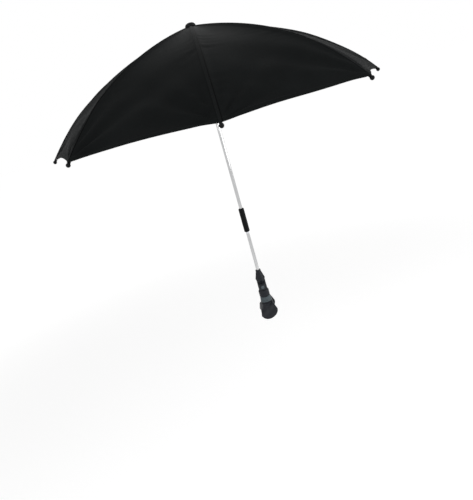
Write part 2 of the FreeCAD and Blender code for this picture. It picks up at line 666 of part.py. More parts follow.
def make_lower_knuckle():
    """Tongue at the head of the lower mast."""
    half = JOINT_TONGUE / 2
    tongue = pin(MAST_RADIUS, -half, half, JOINT_HEIGHT)
    web = block(-MAST_RADIUS, MAST_RADIUS, -half, half, JOINT_HEIGHT - JOINT_SHOULDER, JOINT_HEIGHT)
    tongue = tongue.fuse(web).common(drum(MAST_RADIUS, JOINT_HEIGHT - JOINT_SHOULDER, JOINT_HEIGHT + MAST_RADIUS))
    body = joint_half(-1).fuse(tongue).removeSplitter()
    return body.cut(pin(JOINT_PIN_RADIUS + SEAT_FIT, -MAST_RADIUS, MAST_RADIUS, JOINT_HEIGHT))


def make_knuckle_pin():
    """Pin of the mast's joint, flush with the mast."""
    half = math.sqrt(MAST_RADIUS ** 2 - JOINT_PIN_RADIUS ** 2)
    return pin(JOINT_PIN_RADIUS, -half, half, JOINT_HEIGHT)


def make_locking_sleeve():
    """Sleeve that slides on the upper mast and covers the joint, with grip rings at its foot."""
    bottom = JOINT_HEIGHT - SLEEVE_BELOW
    top = bottom + SLEEVE_LENGTH
    guide = MAST_RADIUS + RUNNING_FIT
    wide = MAST_RADIUS + SLEEVE_PLAY
    sleeve = turned([
        (wide, bottom), (SLEEVE_RADIUS - SLEEVE_EDGE, bottom),
        (SLEEVE_RADIUS, bottom + SLEEVE_EDGE), (SLEEVE_RADIUS, top - SLEEVE_EDGE),
        (SLEEVE_RADIUS - SLEEVE_EDGE, top), (guide, top), (guide, top - SLEEVE_GUIDE),
        (wide, top - SLEEVE_GUIDE - SLEEVE_PLAY),
    ])
    for index in range(SLEEVE_GRIPS):
        height = bottom + SLEEVE_EDGE + SLEEVE_GRIP_PITCH * (index + 1)
        cutter = drum(SLEEVE_RADIUS + OVERRUN, height, height + SLEEVE_GRIP_WIDTH)
        core = drum(SLEEVE_RADIUS - SLEEVE_GRIP_DEPTH, height, height + SLEEVE_GRIP_WIDTH)
        sleeve = sleeve.cut(cutter.cut(core))
    return sleeve


def wire_ring(radius, height):
    """Ring of wire that rib or stretcher ends hang on."""
    return Part.makeTorus(radius, WIRE_RADIUS, point(0, 0, height))


def wire_groove(radius, outer, height):
    """Cutter for the groove that holds a wire ring, open to the outside."""
    half = WIRE_RADIUS + WIRE_GROOVE_GAP
    inner = radius - half
    return drum(outer + OVERRUN, height - half, height + half).cut(drum(inner, height - half, height + half))


def make_crown():
    """Top notch on the mast, slotted for the rib ends and roofed over them."""
    bottom = CROWN_HEIGHT - CROWN_BELOW
    top = CROWN_HEIGHT + CROWN_ABOVE
    body = turned([
        (0, bottom), (CROWN_RADIUS - WIRE_RADIUS, bottom), (CROWN_RADIUS, bottom + WIRE_RADIUS),
        (CROWN_RADIUS, top), (0, top),
    ])
    half = RIB_WIDTH / 2 + SIDE_GAP
    slot = block(CROWN_SLOT_BOTTOM, CROWN_RADIUS + OVERRUN, -half, half, bottom - OVERRUN, CROWN_HEIGHT + CROWN_ROOF)
    slot.rotate(ORIGIN, Z_AXIS, FRONT_DEG)
    bore = drum(MAST_RADIUS + SEAT_FIT, bottom - OVERRUN, bottom + CROWN_MAST_DEPTH)
    groove = wire_groove(CROWN_PIVOT_RADIUS, CROWN_RADIUS, CROWN_HEIGHT)
    return body.cut(spun(slot, RIB_COUNT).Solids).cut(bore).cut(groove)


def make_top_cap():
    """Domed cap on the crown, whose rim hangs over the edge of the cloth."""
    seat = CROWN_HEIGHT + CROWN_ABOVE
    rim = seat - TOP_CAP_SKIRT
    peak = seat + TOP_CAP_RISE
    shoulder = point(TOP_CAP_RADIUS, 0, seat)
    middle = point(TOP_CAP_RADIUS * math.sqrt(3) / 2, 0, seat + TOP_CAP_RISE / 2)
    edges = [
        Part.Arc(point(0, 0, peak), middle, shoulder).toShape(),
        Part.makeLine(shoulder, point(TOP_CAP_RADIUS, 0, rim)),
        Part.makeLine(point(TOP_CAP_RADIUS, 0, rim), point(TOP_CAP_RADIUS - TOP_CAP_WALL, 0, rim)),
        Part.makeLine(point(TOP_CAP_RADIUS - TOP_CAP_WALL, 0, rim), point(TOP_CAP_RADIUS - TOP_CAP_WALL, 0, seat)),
        Part.makeLine(point(TOP_CAP_RADIUS - TOP_CAP_WALL, 0, seat), point(0, 0, seat)),
        Part.makeLine(point(0, 0, seat), point(0, 0, peak)),
    ]
    return Part.Face(Part.Wire(edges)).revolve(ORIGIN, Z_AXIS, FULL_TURN)


def runner_foot():
    """Height of the runner's lower end, opened."""
    return RUNNER_HEIGHT - RUNNER_FLANGE_HEIGHT / 2 - RUNNER_TUBE_LENGTH


def make_runner():
    """Sliding runner: slotted flange, tube and a flared foot for the fingers."""
    low = RUNNER_HEIGHT - RUNNER_FLANGE_HEIGHT / 2
    high = RUNNER_HEIGHT + RUNNER_FLANGE_HEIGHT / 2
    foot = runner_foot()
    bore = MAST_RADIUS + RUNNING_FIT
    body = turned([
        (bore, foot), (RUNNER_FOOT_RADIUS, foot), (RUNNER_FOOT_RADIUS, foot + RUNNER_FOOT_HEIGHT / 2),
        (RUNNER_TUBE_RADIUS, foot + RUNNER_FOOT_HEIGHT), (RUNNER_TUBE_RADIUS, low - WIRE_RADIUS),
        (RUNNER_FLANGE_RADIUS, low), (RUNNER_FLANGE_RADIUS, high), (RUNNER_TUBE_RADIUS, high),
        (RUNNER_TUBE_RADIUS, high + RUNNER_COLLAR_HEIGHT), (bore, high + RUNNER_COLLAR_HEIGHT),
    ])
    half = STRETCHER_WIDTH / 2 + RUNNER_SLOT_GAP
    inner = RUNNER_PIVOT_RADIUS - STRETCHER_DEPTH / 2 - SIDE_GAP
    slot = block(inner, RUNNER_FLANGE_RADIUS + OVERRUN, -half, half, low - WIRE_RADIUS - OVERRUN, high + OVERRUN)
    slot.rotate(ORIGIN, Z_AXIS, FRONT_DEG)
    groove = wire_groove(RUNNER_WIRE_CENTRE, RUNNER_FLANGE_RADIUS, RUNNER_HEIGHT)
    return body.cut(spun(slot, RIB_COUNT).Solids).cut(groove)


def catch_top():
    """Height of the step that the runner's foot rests above."""
    return runner_foot() - SIDE_GAP


def make_runner_catch():
    """Bent leaf spring: a step that stands out of the mast, and a tail inside it."""
    inside = MAST_RADIUS - MAST_WALL - CATCH_SLOT_GAP
    outside = MAST_RADIUS + CATCH_REACH
    top = catch_top()
    low = top - CATCH_LENGTH
    leaf = face_of([
        point(inside - CATCH_LEAF, 0, top), point(outside, 0, top),
        point(outside, 0, top - CATCH_LEAF), point(inside, 0, low), point(inside, 0, low - CATCH_TAIL),
        point(inside - CATCH_LEAF, 0, low - CATCH_TAIL), point(inside - CATCH_LEAF, 0, low),
        point(outside - 2 * CATCH_LEAF, 0, top - CATCH_LEAF), point(inside - CATCH_LEAF, 0, top - CATCH_LEAF),
    ])
    leaf.translate(Y_AXIS * (-CATCH_THICKNESS / 2))
    catch = leaf.extrude(Y_AXIS * CATCH_THICKNESS)
    catch.rotate(ORIGIN, Z_AXIS, CATCH_DEG)
    return catch


def make_rib(index):
    """Channel rib with its eye on the crown's wire, and the bracket that the stretcher hangs on."""
    w = RIB_WIDTH / 2
    d = RIB_DEPTH / 2
    channel = RIB_LINE.sweep([
        (-w, -d), (-w, d), (w, d), (w, -d), (w - RIB_WALL, -d), (w - RIB_WALL, d - RIB_WALL),
        (RIB_WALL - w, d - RIB_WALL), (RIB_WALL - w, -d),
    ])
    eye = pin(RIB_EYE_RADIUS, -w, w)
    eye.translate(RIB_LINE.start)
    ear_out = w + BRACKET_WALL
    saddle = block(-BRACKET_LENGTH / 2, BRACKET_LENGTH / 2, -ear_out, ear_out, -d, d - RIB_WALL)
    ears = block(-BRACKET_RADIUS, BRACKET_RADIUS, -ear_out, ear_out, -BRACKET_DROP, -d)
    ears = ears.fuse(pin(BRACKET_RADIUS, -ear_out, ear_out, -BRACKET_DROP)).fuse(saddle)
    throat = block(-BRACKET_LENGTH, BRACKET_LENGTH, -w, w, -BRACKET_DROP - BRACKET_RADIUS - OVERRUN, d)
    head_out = ear_out + RIVET_HEAD_HEIGHT
    rivet = pin(RIVET_RADIUS, -ear_out, ear_out, -BRACKET_DROP)
    rivet = rivet.fuse(pin(RIVET_HEAD_RADIUS, ear_out, head_out, -BRACKET_DROP))
    rivet = rivet.fuse(pin(RIVET_HEAD_RADIUS, -head_out, -ear_out, -BRACKET_DROP))
    bracket = ears.cut(throat).fuse(rivet)
    slope = RIB_LINE.slope_deg(BRACKET_DISTANCE)
    set_on_slope(bracket, RIB_LINE.place(BRACKET_DISTANCE), slope)
    hole = pin(WIRE_RADIUS + RIB_EYE_GAP, -w - OVERRUN, w + OVERRUN)
    hole.translate(RIB_LINE.start)
    return at_rib(channel.fuse([eye, bracket]).removeSplitter().cut(hole), index)


def make_rib_tip(index):
    """Ball on a short neck, pushed on the end of a rib."""
    reach = math.sqrt(TIP_BALL_RADIUS ** 2 - TIP_NECK_RADIUS ** 2)
    ball = Part.makeSphere(TIP_BALL_RADIUS, point(0, 0, TIP_REACH))
    neck = drum(TIP_NECK_RADIUS, TIP_REACH - reach - TIP_NECK_LENGTH + TIP_SOCKET_DEPTH, TIP_REACH)
    hole_radius = math.hypot(RIB_WIDTH / 2, RIB_DEPTH / 2) + SEAT_FIT
    hole = drum(hole_radius, -TIP_NECK_LENGTH - OVERRUN, RIB_WALL)
    tip = ball.fuse(neck).removeSplitter().cut(hole)
    set_on_slope(tip, RIB_LINE.place(RIB_LINE.length), FULL_TURN / 4 + RIB_TIP_SLOPE_DEG)
    return at_rib(tip, index)


def make_stretcher(index):
    """Channel strut from the rib's bracket to the runner."""
    run = RUNNER_PIN - BRACKET_PIN
    length = run.Length
    half = STRETCHER_DEPTH / 2
    wide = STRETCHER_WIDTH / 2
    top = [point(0, -wide, half), point(length, -wide, half)]
    low = [point(length, -wide, -half), point(0, -wide, -half)]
    edges = [
        Part.makeLine(*top),
        Part.Arc(top[1], point(length + half, -wide, 0), low[0]).toShape(),
        Part.makeLine(*low),
        Part.Arc(low[1], point(-half, -wide, 0), top[0]).toShape(),
    ]
    strut = Part.Face(Part.Wire(edges)).extrude(Y_AXIS * STRETCHER_WIDTH)
    inside = wide - STRETCHER_WALL
    pocket = block(STRETCHER_DEPTH, length - STRETCHER_DEPTH, -inside, inside,
                   STRETCHER_WALL - half, half + OVERRUN)
    hole = pin(RIVET_RADIUS + RUNNING_FIT, -wide - OVERRUN, wide + OVERRUN)
    strut = strut.cut(pocket).cut(hole)
    fall = math.degrees(math.atan2(-run.z, run.x))
    return at_rib(set_on_slope(strut, BRACKET_PIN, fall), index)


def cloth_place(length, lift, side):
    """Point of the cloth on a rib (side 0), or half way to the next rib (side -1 or 1).

    Half way between ribs the cloth lies on the chord between them and dips by its sag,
    which is greatest half way along the rib.
    """
    on_rib = RIB_LINE.place(length, lift)
    if side == 0:
        return on_rib
    half_angle = math.pi / RIB_COUNT
    dip = CLOTH_SAG * math.sin(math.pi * length / RIB_LINE.length)
    radius = on_rib.x * math.cos(half_angle)
    shift = PANEL_GAP / 2
    x = radius * math.cos(half_angle) + shift * math.sin(half_angle)
    y = radius * math.sin(half_angle) - shift * math.cos(half_angle)
    return point(x, side * y, on_rib.z - dip)


def cloth_section(side):
    """Closed outline of the cloth along a rib, or along the middle of a gore."""
    low = RIB_DEPTH / 2 + CLOTH_GAP
    high = low + CLOTH_THICKNESS
    start = CLOTH_INNER_LENGTH
    end = RIB_LINE.length - CLOTH_HEM_MARGIN - abs(side) * CLOTH_HEM_RISE
    bend = RIB_INNER_LENGTH
    stations = (start, (start + bend) / 2, bend, (bend + end) / 2, end)
    over = [cloth_place(s, high, side) for s in stations]
    under = [cloth_place(s, low, side) for s in reversed(stations)]
    return Part.Wire([
        Part.Arc(*over[:3]).toShape(),
        Part.Arc(*over[2:]).toShape(),
        Part.makeLine(over[-1], under[0]),
        Part.Arc(*under[:3]).toShape(),
        Part.Arc(*under[2:]).toShape(),
        Part.makeLine(under[-1], over[0]),
    ])


def make_canopy_panel(index):
    """Cloth on both sides of one rib, out to the middle of the gores beside it."""
    sections = [cloth_section(side) for side in (-1, 0, 1)]
    return at_rib(Part.makeLoft(sections, True, True), index)


def main():
    """Make every piece and write it."""
    os.makedirs("parts", exist_ok=True)
    single = {
        "clamp_body": make_clamp_body(),
        "jaw_lining": make_jaw_lining(),
        "screw_insert": make_screw_insert(),
        "pressure_pad": make_pressure_pad(),
        "thumb_screw": make_thumb_screw(),
        "thumb_knob": make_thumb_knob(),
        "swivel_ring": make_swivel_ring(),
        "swivel_bolt": make_swivel_bolt(),
        "yoke": make_yoke(),
        "tilt_bolt": make_tilt_bolt(),
        "tilt_knob": make_tilt_knob(),
        "knob_cap": make_knob_cap(),
        "mast_socket": make_mast_socket(),
        "lower_mast": make_lower_mast(),
        "lower_knuckle": make_lower_knuckle(),
        "knuckle_pin": make_knuckle_pin(),
        "upper_knuckle": make_upper_knuckle(),
        "upper_mast": make_upper_mast(),
        "locking_sleeve": make_locking_sleeve(),
        "crown": make_crown(),
        "crown_wire": wire_ring(CROWN_PIVOT_RADIUS, CROWN_HEIGHT),
        "top_cap": make_top_cap(),
        "runner": make_runner(),
        "runner_wire": wire_ring(RUNNER_WIRE_CENTRE, RUNNER_HEIGHT),
        "runner_catch": make_runner_catch(),
    }
    for name, shape in single.items():
        export(shape, name)
    repeated = {
        "rib": make_rib,
        "rib_tip": make_rib_tip,
        "stretcher": make_stretcher,
        "canopy_panel": make_canopy_panel,
    }
    for name, make in repeated.items():
        for index in range(RIB_COUNT):
            export(make(index), name + "_" + str(index + 1))


main()
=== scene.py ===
import json
import logging
import math
from dataclasses import dataclass, field
from enum import Enum
from functools import cache
from typing import Any, Optional, Sequence, Union

import bpy
import numpy as np
from mathutils import Matrix, Vector

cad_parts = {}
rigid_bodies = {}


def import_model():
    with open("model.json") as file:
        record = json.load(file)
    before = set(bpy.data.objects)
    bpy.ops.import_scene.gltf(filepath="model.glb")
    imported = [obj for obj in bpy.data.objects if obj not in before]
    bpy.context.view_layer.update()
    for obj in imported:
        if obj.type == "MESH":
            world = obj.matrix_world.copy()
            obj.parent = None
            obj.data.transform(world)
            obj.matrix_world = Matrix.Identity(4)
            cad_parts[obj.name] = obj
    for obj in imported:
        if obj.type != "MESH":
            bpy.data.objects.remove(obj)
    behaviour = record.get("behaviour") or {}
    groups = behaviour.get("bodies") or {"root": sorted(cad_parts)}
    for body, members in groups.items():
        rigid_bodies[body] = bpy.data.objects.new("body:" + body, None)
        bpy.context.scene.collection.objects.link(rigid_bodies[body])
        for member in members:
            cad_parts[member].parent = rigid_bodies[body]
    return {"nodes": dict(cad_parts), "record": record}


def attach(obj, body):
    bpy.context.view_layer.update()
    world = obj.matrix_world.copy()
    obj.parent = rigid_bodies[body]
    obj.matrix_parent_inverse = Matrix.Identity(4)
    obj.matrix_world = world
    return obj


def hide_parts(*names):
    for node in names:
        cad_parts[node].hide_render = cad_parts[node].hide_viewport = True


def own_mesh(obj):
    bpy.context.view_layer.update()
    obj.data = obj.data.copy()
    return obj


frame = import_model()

LOG = logging.getLogger("pram_parasol")
PHOTO_SIZE = (473, 500)
RIB_COUNT = 8
HALF_GORE = math.pi / RIB_COUNT
FULL_TURN = 2 * math.pi
NOISE_MEAN = 0.5
NOISE_ROUGHNESS = 0.55
BEVEL_SAMPLES = 6
EDGE_STEP = (0.01, 0.25)
MIX_SHARE, MIX_FIRST, MIX_SECOND, MIX_COLOUR = 0, 6, 7, 2
Pair = tuple[float, float]
Vec3 = tuple[float, float, float]
Colour = tuple[float, float, float]
Grid = tuple[np.ndarray, np.ndarray, np.ndarray, np.ndarray]
Maps = dict[str, np.ndarray]


class Slot(Enum):
    """Material slots of the part's record."""

    CLAMP = "clamp_plastic"
    BLACK = "black_plastic"
    GREY = "grey_plastic"
    RUBBER = "rubber"
    BRASS = "brass"
    ZINC = "zinc_steel"
    CHROME = "mast_chrome"
    RIB = "rib_steel"
    CLOTH = "canopy_cloth"


class Value:
    """A shader value. Python's operators on it add Math nodes to its graph."""

    def __init__(self, graph: "Graph", socket: bpy.types.NodeSocket) -> None:
        """Wrap one output socket of a graph."""
        self.graph = graph
        self.socket = socket

    def _math(self, operation: str, first: Any, second: Any = None) -> "Value":
        """Result of a new Math node, named by its operation, on one or two values or numbers."""
        inputs = {i: v for i, v in enumerate((first, second)) if v is not None}
        return self.graph.add("ShaderNodeMath", {"operation": operation}, inputs)

    def __add__(self, other: Any) -> "Value":
        """This value plus another."""
        return self._math("ADD", self, other)

    def __radd__(self, other: Any) -> "Value":
        """A number plus this value."""
        return self._math("ADD", other, self)

    def __sub__(self, other: Any) -> "Value":
        """This value minus another."""
        return self._math("SUBTRACT", self, other)

    def __rsub__(self, other: Any) -> "Value":
        """A number minus this value."""
        return self._math("SUBTRACT", other, self)

    def __mul__(self, other: Any) -> "Value":
        """This value times another."""
        return self._math("MULTIPLY", self, other)

    def __rmul__(self, other: Any) -> "Value":
        """A number times this value."""
        return self._math("MULTIPLY", other, self)

    def __truediv__(self, other: Any) -> "Value":
        """This value divided by another."""
        return self._math("DIVIDE", self, other)

    def __lt__(self, other: Any) -> "Value":
        """1 where this value is the smaller, and 0 elsewhere."""
        return self._math("LESS_THAN", self, other)

    def __gt__(self, other: Any) -> "Value":
        """1 where this value is the larger, and 0 elsewhere."""
        return self._math("GREATER_THAN", self, other)

    def __abs__(self) -> "Value":
        """Size of this value."""
        return self._math("ABSOLUTE", self)

    def larger(self, other: Any) -> "Value":
        """The larger of this value and another."""
        return self._math("MAXIMUM", self, other)

    def sine(self) -> "Value":
        """Sine of this value, in radians."""
        return self._math("SINE", self)

    def fraction(self) -> "Value":
        """What is left after the whole number below this value."""
        return self._math("FRACT", self)

    def swing(self, amount: float) -> "Value":
        """This noise about its mean, times an amount."""
        return (self - NOISE_MEAN) * amount

    def between(self, low: float, high: float) -> "Value":
        """Smooth step from 0 where this value is low to 1 where it is high."""
        inputs = {"Value": self, "From Min": low, "From Max": high}
        return self.graph.add("ShaderNodeMapRange", {"interpolation_type": "SMOOTHSTEP"}, inputs)


class Graph:
    """The node tree of one material or world."""

    def __init__(self, owner: Union[bpy.types.Material, bpy.types.World]) -> None:
        """Start an empty tree.

        Args:
            owner: the material or world.
        """
        self.owner = owner
        owner.use_nodes = True
        self.tree = owner.node_tree
        self.tree.nodes.clear()

    @classmethod
    def paint(cls, name: str) -> "Graph":
        """Tree of a new material."""
        return cls(bpy.data.materials.new(name))

    def add(self, kind: str, settings: Optional[dict] = None, inputs: Optional[dict] = None,
            output: Union[int, str] = 0) -> Value:
        """Add a node.

        Args:
            kind: Blender's name of the node's type.
            settings: its properties, set first.
            inputs: numbers, colours or values for its sockets, by name or number.
            output: the socket that is returned.

        Returns:
            One output of the node.
        """
        node = self.tree.nodes.new(kind)
        for key, setting in (settings or {}).items():
            setattr(node, key, setting)
        for key, given in (inputs or {}).items():
            if isinstance(given, Value):
                self.tree.links.new(given.socket, node.inputs[key])
            else:
                node.inputs[key].default_value = given
        return Value(self, node.outputs[output])

    def objects(self) -> Value:
        """Object coordinates, in metres."""
        return self.add("ShaderNodeTexCoord", output="Object")

    def axes(self, vector: Value) -> tuple[Value, ...]:
        """The x, y and z of a vector."""
        outputs = self.add("ShaderNodeSeparateXYZ", {}, {0: vector}).socket.node.outputs
        return tuple(Value(self, output) for output in outputs)

    def noise(self, vector: Value, scale: float, detail: float = 3.0) -> Value:
        """Cloudy noise from 0 to 1, with its features per metre and its number of finer layers."""
        inputs = {"Vector": vector, "Scale": scale, "Detail": detail, "Roughness": NOISE_ROUGHNESS}
        return self.add("ShaderNodeTexNoise", {}, inputs)

    def stretched(self, vector: Value, scale: Vec3) -> Value:
        """Coordinates stretched along their axes."""
        return self.add("ShaderNodeMapping", {}, {"Vector": vector, "Scale": scale})

    def mixed(self, share: Value, first: Any, second: Any) -> Value:
        """Blend of two colours.

        Args:
            share: 0 for the first, 1 for the second.
            first, second: colours, or values that hold them.

        Returns:
            The blended colour.
        """
        pair = [c if isinstance(c, Value) else (*c, 1.0) for c in (first, second)]
        inputs = {MIX_SHARE: share, MIX_FIRST: pair[0], MIX_SECOND: pair[1]}
        return self.add("ShaderNodeMix", {"data_type": "RGBA"}, inputs, MIX_COLOUR)

    def background_rays(self) -> Value:
        """Mask of the rays that see, and don't light.

        Returns:
            1 for rays from the camera and from shiny or clear surfaces, and 0 for others.
        """
        camera = self.add("ShaderNodeLightPath", output="Is Camera Ray")
        rays = camera.socket.node.outputs
        shiny, clear = Value(self, rays["Is Glossy Ray"]), Value(self, rays["Is Transmission Ray"])
        return camera.larger(shiny).larger(clear)

    def bump(self, height: Value, depth: float, strength: float,
             normal: Optional[Value] = None) -> Value:
        """Bumped normal.

        Args:
            height: height from 0 to 1.
            depth: what a height of 1 stands for, in metres.
            strength: share of the effect.
            normal: normal to start from.

        Returns:
            The new normal.
        """
        inputs = {"Height": height, "Distance": depth, "Strength": strength}
        if normal is not None:
            inputs["Normal"] = normal
        return self.add("ShaderNodeBump", {}, inputs)

    def rounded(self, radius: float) -> tuple[Value, Value]:
        """Normal that rounds sharp edges, and a mask of those edges.

        Args:
            radius: radius of the rounding, in metres.

        Returns:
            The normal, and 1 at sharp edges falling to 0 on faces.
        """
        normal = self.add("ShaderNodeBevel", {"samples": BEVEL_SAMPLES}, {"Radius": radius})
        face = self.add("ShaderNodeNewGeometry", output="Normal")
        product = {"operation": "DOT_PRODUCT"}
        along = self.add("ShaderNodeVectorMath", product, {0: normal, 1: face}, "Value")
        return normal, (1.0 - along).between(*EDGE_STEP)

    def finish(self, sockets: dict) -> bpy.types.Material:
        """The material, closed with a principled surface that has these sockets."""
        self.close("ShaderNodeOutputMaterial", self.add("ShaderNodeBsdfPrincipled", {}, sockets))
        return self.owner

    def close(self, kind: str, shader: Value) -> None:
        """Join a shader to a new output node of this type."""
        node = self.tree.nodes.new(kind)
        self.tree.links.new(shader.socket, node.inputs["Surface"])


@dataclass(frozen=True)
class PlasticFinish:
    """Moulded plastic: fine grain, cloudy gloss, and paler worn edges."""

    name: str
    colour: Colour
    worn: Colour
    gloss: float
    shine: float
    edge: float = 0.0005
    cloud_scale: float = 95.0
    cloud_step: Pair = (0.3, 0.75)
    cloud_shade: float = 0.82
    speck_scale: float = 900.0
    wear_step: Pair = (0.38, 0.68)
    wear_share: float = 0.55
    gloss_swings: Vec3 = (0.16, 0.08, 0.06)
    grain_scale: float = 2600.0
    grain_depth: float = 0.00004
    grain_strength: float = 0.55

    def make(self) -> bpy.types.Material:
        """Build the material.

        Returns:
            The material.
        """
        graph = Graph.paint(self.name)
        place = graph.objects()
        normal, edges = graph.rounded(self.edge)
        cloud = graph.noise(place, self.cloud_scale, detail=4.0)
        specks = graph.noise(place, self.speck_scale, detail=2.0)
        wear = edges * cloud.between(*self.wear_step)
        deeper = tuple(self.cloud_shade * c for c in self.colour)
        shade = graph.mixed(cloud.between(*self.cloud_step), self.colour, deeper)
        grain = graph.noise(place, self.grain_scale, detail=2.0)
        by_cloud, by_speck, by_wear = self.gloss_swings
        rough = self.gloss + cloud.swing(by_cloud) + specks.swing(by_speck) - wear * by_wear
        return graph.finish({
            "Base Color": graph.mixed(wear * self.wear_share, shade, self.worn),
            "Roughness": rough,
            "Normal": graph.bump(grain, self.grain_depth, self.grain_strength, normal),
            "Specular IOR Level": self.shine,
        })


@dataclass(frozen=True)
class RubberFinish:
    """Matt moulded rubber with patches of dust and smoother edges."""

    name: str
    colour: Colour
    dust: Colour = (0.11, 0.105, 0.1)
    dust_step: Pair = (0.52, 0.8)
    dust_share: float = 0.5
    edge: float = 0.0004
    gloss: float = 0.74
    gloss_swings: Pair = (0.2, 0.1)
    cloud_scale: float = 160.0
    grain_scale: float = 3200.0
    grain_depth: float = 0.00005
    grain_strength: float = 0.6

    def make(self) -> bpy.types.Material:
        """Build the material.

        Returns:
            The material.
        """
        graph = Graph.paint(self.name)
        place = graph.objects()
        normal, edges = graph.rounded(self.edge)
        cloud = graph.noise(place, self.cloud_scale, detail=5.0)
        grain = graph.noise(place, self.grain_scale, detail=2.0)
        by_cloud, by_edge = self.gloss_swings
        dusty = cloud.between(*self.dust_step) * self.dust_share
        return graph.finish({
            "Base Color": graph.mixed(dusty, self.colour, self.dust),
            "Roughness": self.gloss + cloud.swing(by_cloud) - edges * by_edge,
            "Normal": graph.bump(grain, self.grain_depth, self.grain_strength, normal),
        })


@dataclass(frozen=True)
class MetalFinish:
    """Bare or plated metal with drawn lines, cloudy gloss and small dull spots."""

    name: str
    colour: Colour
    dull: Colour
    gloss: float
    line_depth: float = 0.000012
    stretch: Vec3 = (1.0, 1.0, 0.03)
    edge: float = 0.0003
    line_scale: float = 2600.0
    line_strength: float = 0.5
    cloud_scale: float = 60.0
    cloud_step: Pair = (0.4, 0.8)
    spot_scale: float = 420.0
    spot_step: Pair = (0.62, 0.78)
    dull_shares: Pair = (0.6, 0.25)
    gloss_swings: Vec3 = (0.1, 0.08, 0.08)

    def make(self) -> bpy.types.Material:
        """Build the material.

        Returns:
            The material.
        """
        graph = Graph.paint(self.name)
        place = graph.objects()
        normal, _ = graph.rounded(self.edge)
        lines = graph.noise(graph.stretched(place, self.stretch), self.line_scale)
        cloud = graph.noise(place, self.cloud_scale, detail=5.0)
        spots = graph.noise(place, self.spot_scale).between(*self.spot_step)
        clouded, spotted = self.dull_shares
        dulled = cloud.between(*self.cloud_step) * clouded + spots * spotted
        by_cloud, by_line, by_spot = self.gloss_swings
        rough = self.gloss + cloud.swing(by_cloud) + lines.swing(by_line) + spots * by_spot
        return graph.finish({
            "Base Color": graph.mixed(dulled, self.colour, self.dull),
            "Metallic": 1.0,
            "Roughness": rough,
            "Normal": graph.bump(lines, self.line_depth, self.line_strength, normal),
        })


@dataclass(frozen=True)
class ClothFinish:
    """Plain-woven polyester with felled seams, read from the cloth's own UV maps in metres.

    The map "seam" holds the distance from the rib's seam and the length along the rib, "hem" the
    distance from the seam and from the hem's edge, and "weave" the distance from the gore's middle
    and the length, so that the threads of both halves of a gore run the same way.
    """

    name: str
    colour: Colour = (0.0058, 0.0065, 0.0066)
    # paler colour used for real fading in clouds and for the painted highlight along each seam's
    # crest
    fade_and_highlight: Colour = (0.0092, 0.0101, 0.0102)
    thread: Colour = (0.013, 0.0135, 0.014)
    shadow: Colour = (0.001, 0.001, 0.001)
    pitch: float = 0.00045
    seam_lines: Pair = (0.0009, 0.0023)
    seam_edge: float = 0.0031
    hem_line: float = 0.0078
    stitch: float = 0.0027
    stitch_half: float = 0.36
    stitch_share: float = 0.8
    thread_step: Pair = (0.00014, 0.000364)
    groove_step: Pair = (0.0004, 0.0015)
    groove_sides: Pair = (0.3, 0.7)
    groove_share: float = 0.85
    cloud_scale: float = 14.0
    cloud_step: Pair = (0.3, 0.75)
    fade_and_highlight_shares: Pair = (0.55, 0.3)
    slub_scale: float = 900.0
    slub_stretch: Vec3 = (1.0, 0.06, 1.0)
    heights: Vec3 = (0.12, 0.5, 0.9)
    bump_depth: float = 0.00012
    bump_strength: float = 0.45
    gloss: float = 0.62
    gloss_swings: Pair = (0.14, 0.1)
    shine: float = 0.010
    sheen: float = 0.005
    sheen_roughness: float = 0.3
    sheen_tint: Colour = (0.8, 0.84, 0.86)

    def _row(self, graph: Graph, across: Value, along: Value, line: float) -> Value:
        """Mask of one row of stitches.

        Args:
            graph: the material's graph; not used.
            across: distance from the seam or the hem.
            along: length along the row.
            line: where the row runs, across.

        Returns:
            1 on the threads and 0 elsewhere.
        """
        near = 1.0 - abs(across - line).between(*self.thread_step)
        dash = (along / self.stitch).fraction()
        return near * (abs(dash - 0.5) < self.stitch_half)

    def make(self) -> bpy.types.Material:
        """Build the material.

        Returns:
            The material.
        """
        graph = Graph.paint(self.name)
        side, length, _ = graph.axes(graph.add("ShaderNodeUVMap", {"uv_map": "seam"}))
        _, edge, _ = graph.axes(graph.add("ShaderNodeUVMap", {"uv_map": "hem"}))
        threads = graph.add("ShaderNodeUVMap", {"uv_map": "weave"})
        weft, warp, _ = graph.axes(threads)
        across = abs(side)
        pace = FULL_TURN / self.pitch
        weave = (weft * pace).sine() * (warp * pace).sine()
        place = graph.objects()
        slub = graph.noise(graph.stretched(threads, self.slub_stretch), self.slub_scale, detail=2.0)
        cloud = graph.noise(place, self.cloud_scale, detail=4.0)
        inner, outer = (self._row(graph, across, length, line) for line in self.seam_lines)
        stitches = inner + outer + self._row(graph, edge, side, self.hem_line)
        # Painted highlight: the seam's crest is lightened towards the paler colour
        crest_highlight = 1.0 - across.between(0.0, self.seam_edge)
        # Painted shade: a dark line in each seam's groove, darker on one side of the seam
        either_side, one_side = self.groove_sides
        groove_shade = 1.0 - abs(across - self.seam_edge).between(*self.groove_step)
        groove_shade = groove_shade * (either_side + one_side * (side > 0.0))
        by_cloud, by_crest_highlight = self.fade_and_highlight_shares
        # Real fading in clouds, plus the painted highlight on the seam's crest
        worn = cloud.between(*self.cloud_step) * by_cloud + crest_highlight * by_crest_highlight
        shade = graph.mixed(worn, self.colour, self.fade_and_highlight)
        # cloth colour with the painted groove shade mixed in
        groove_shaded = graph.mixed(groove_shade * self.groove_share, shade, self.shadow)
        of_weave, of_slub, of_stitch = self.heights
        height = weave * of_weave + slub * of_slub + stitches * of_stitch
        gloss_cloud, gloss_slub = self.gloss_swings
        return graph.finish({
            "Base Color": graph.mixed(stitches * self.stitch_share, groove_shaded, self.thread),
            "Roughness": self.gloss + cloud.swing(gloss_cloud) + slub.swing(gloss_slub),
            "Normal": graph.bump(height, self.bump_depth, self.bump_strength),
            "Sheen Weight": self.sheen,
            "Sheen Roughness": self.sheen_roughness,
            "Sheen Tint": (*self.sheen_tint, 1.0),
            "Specular IOR Level": self.shine,
        })


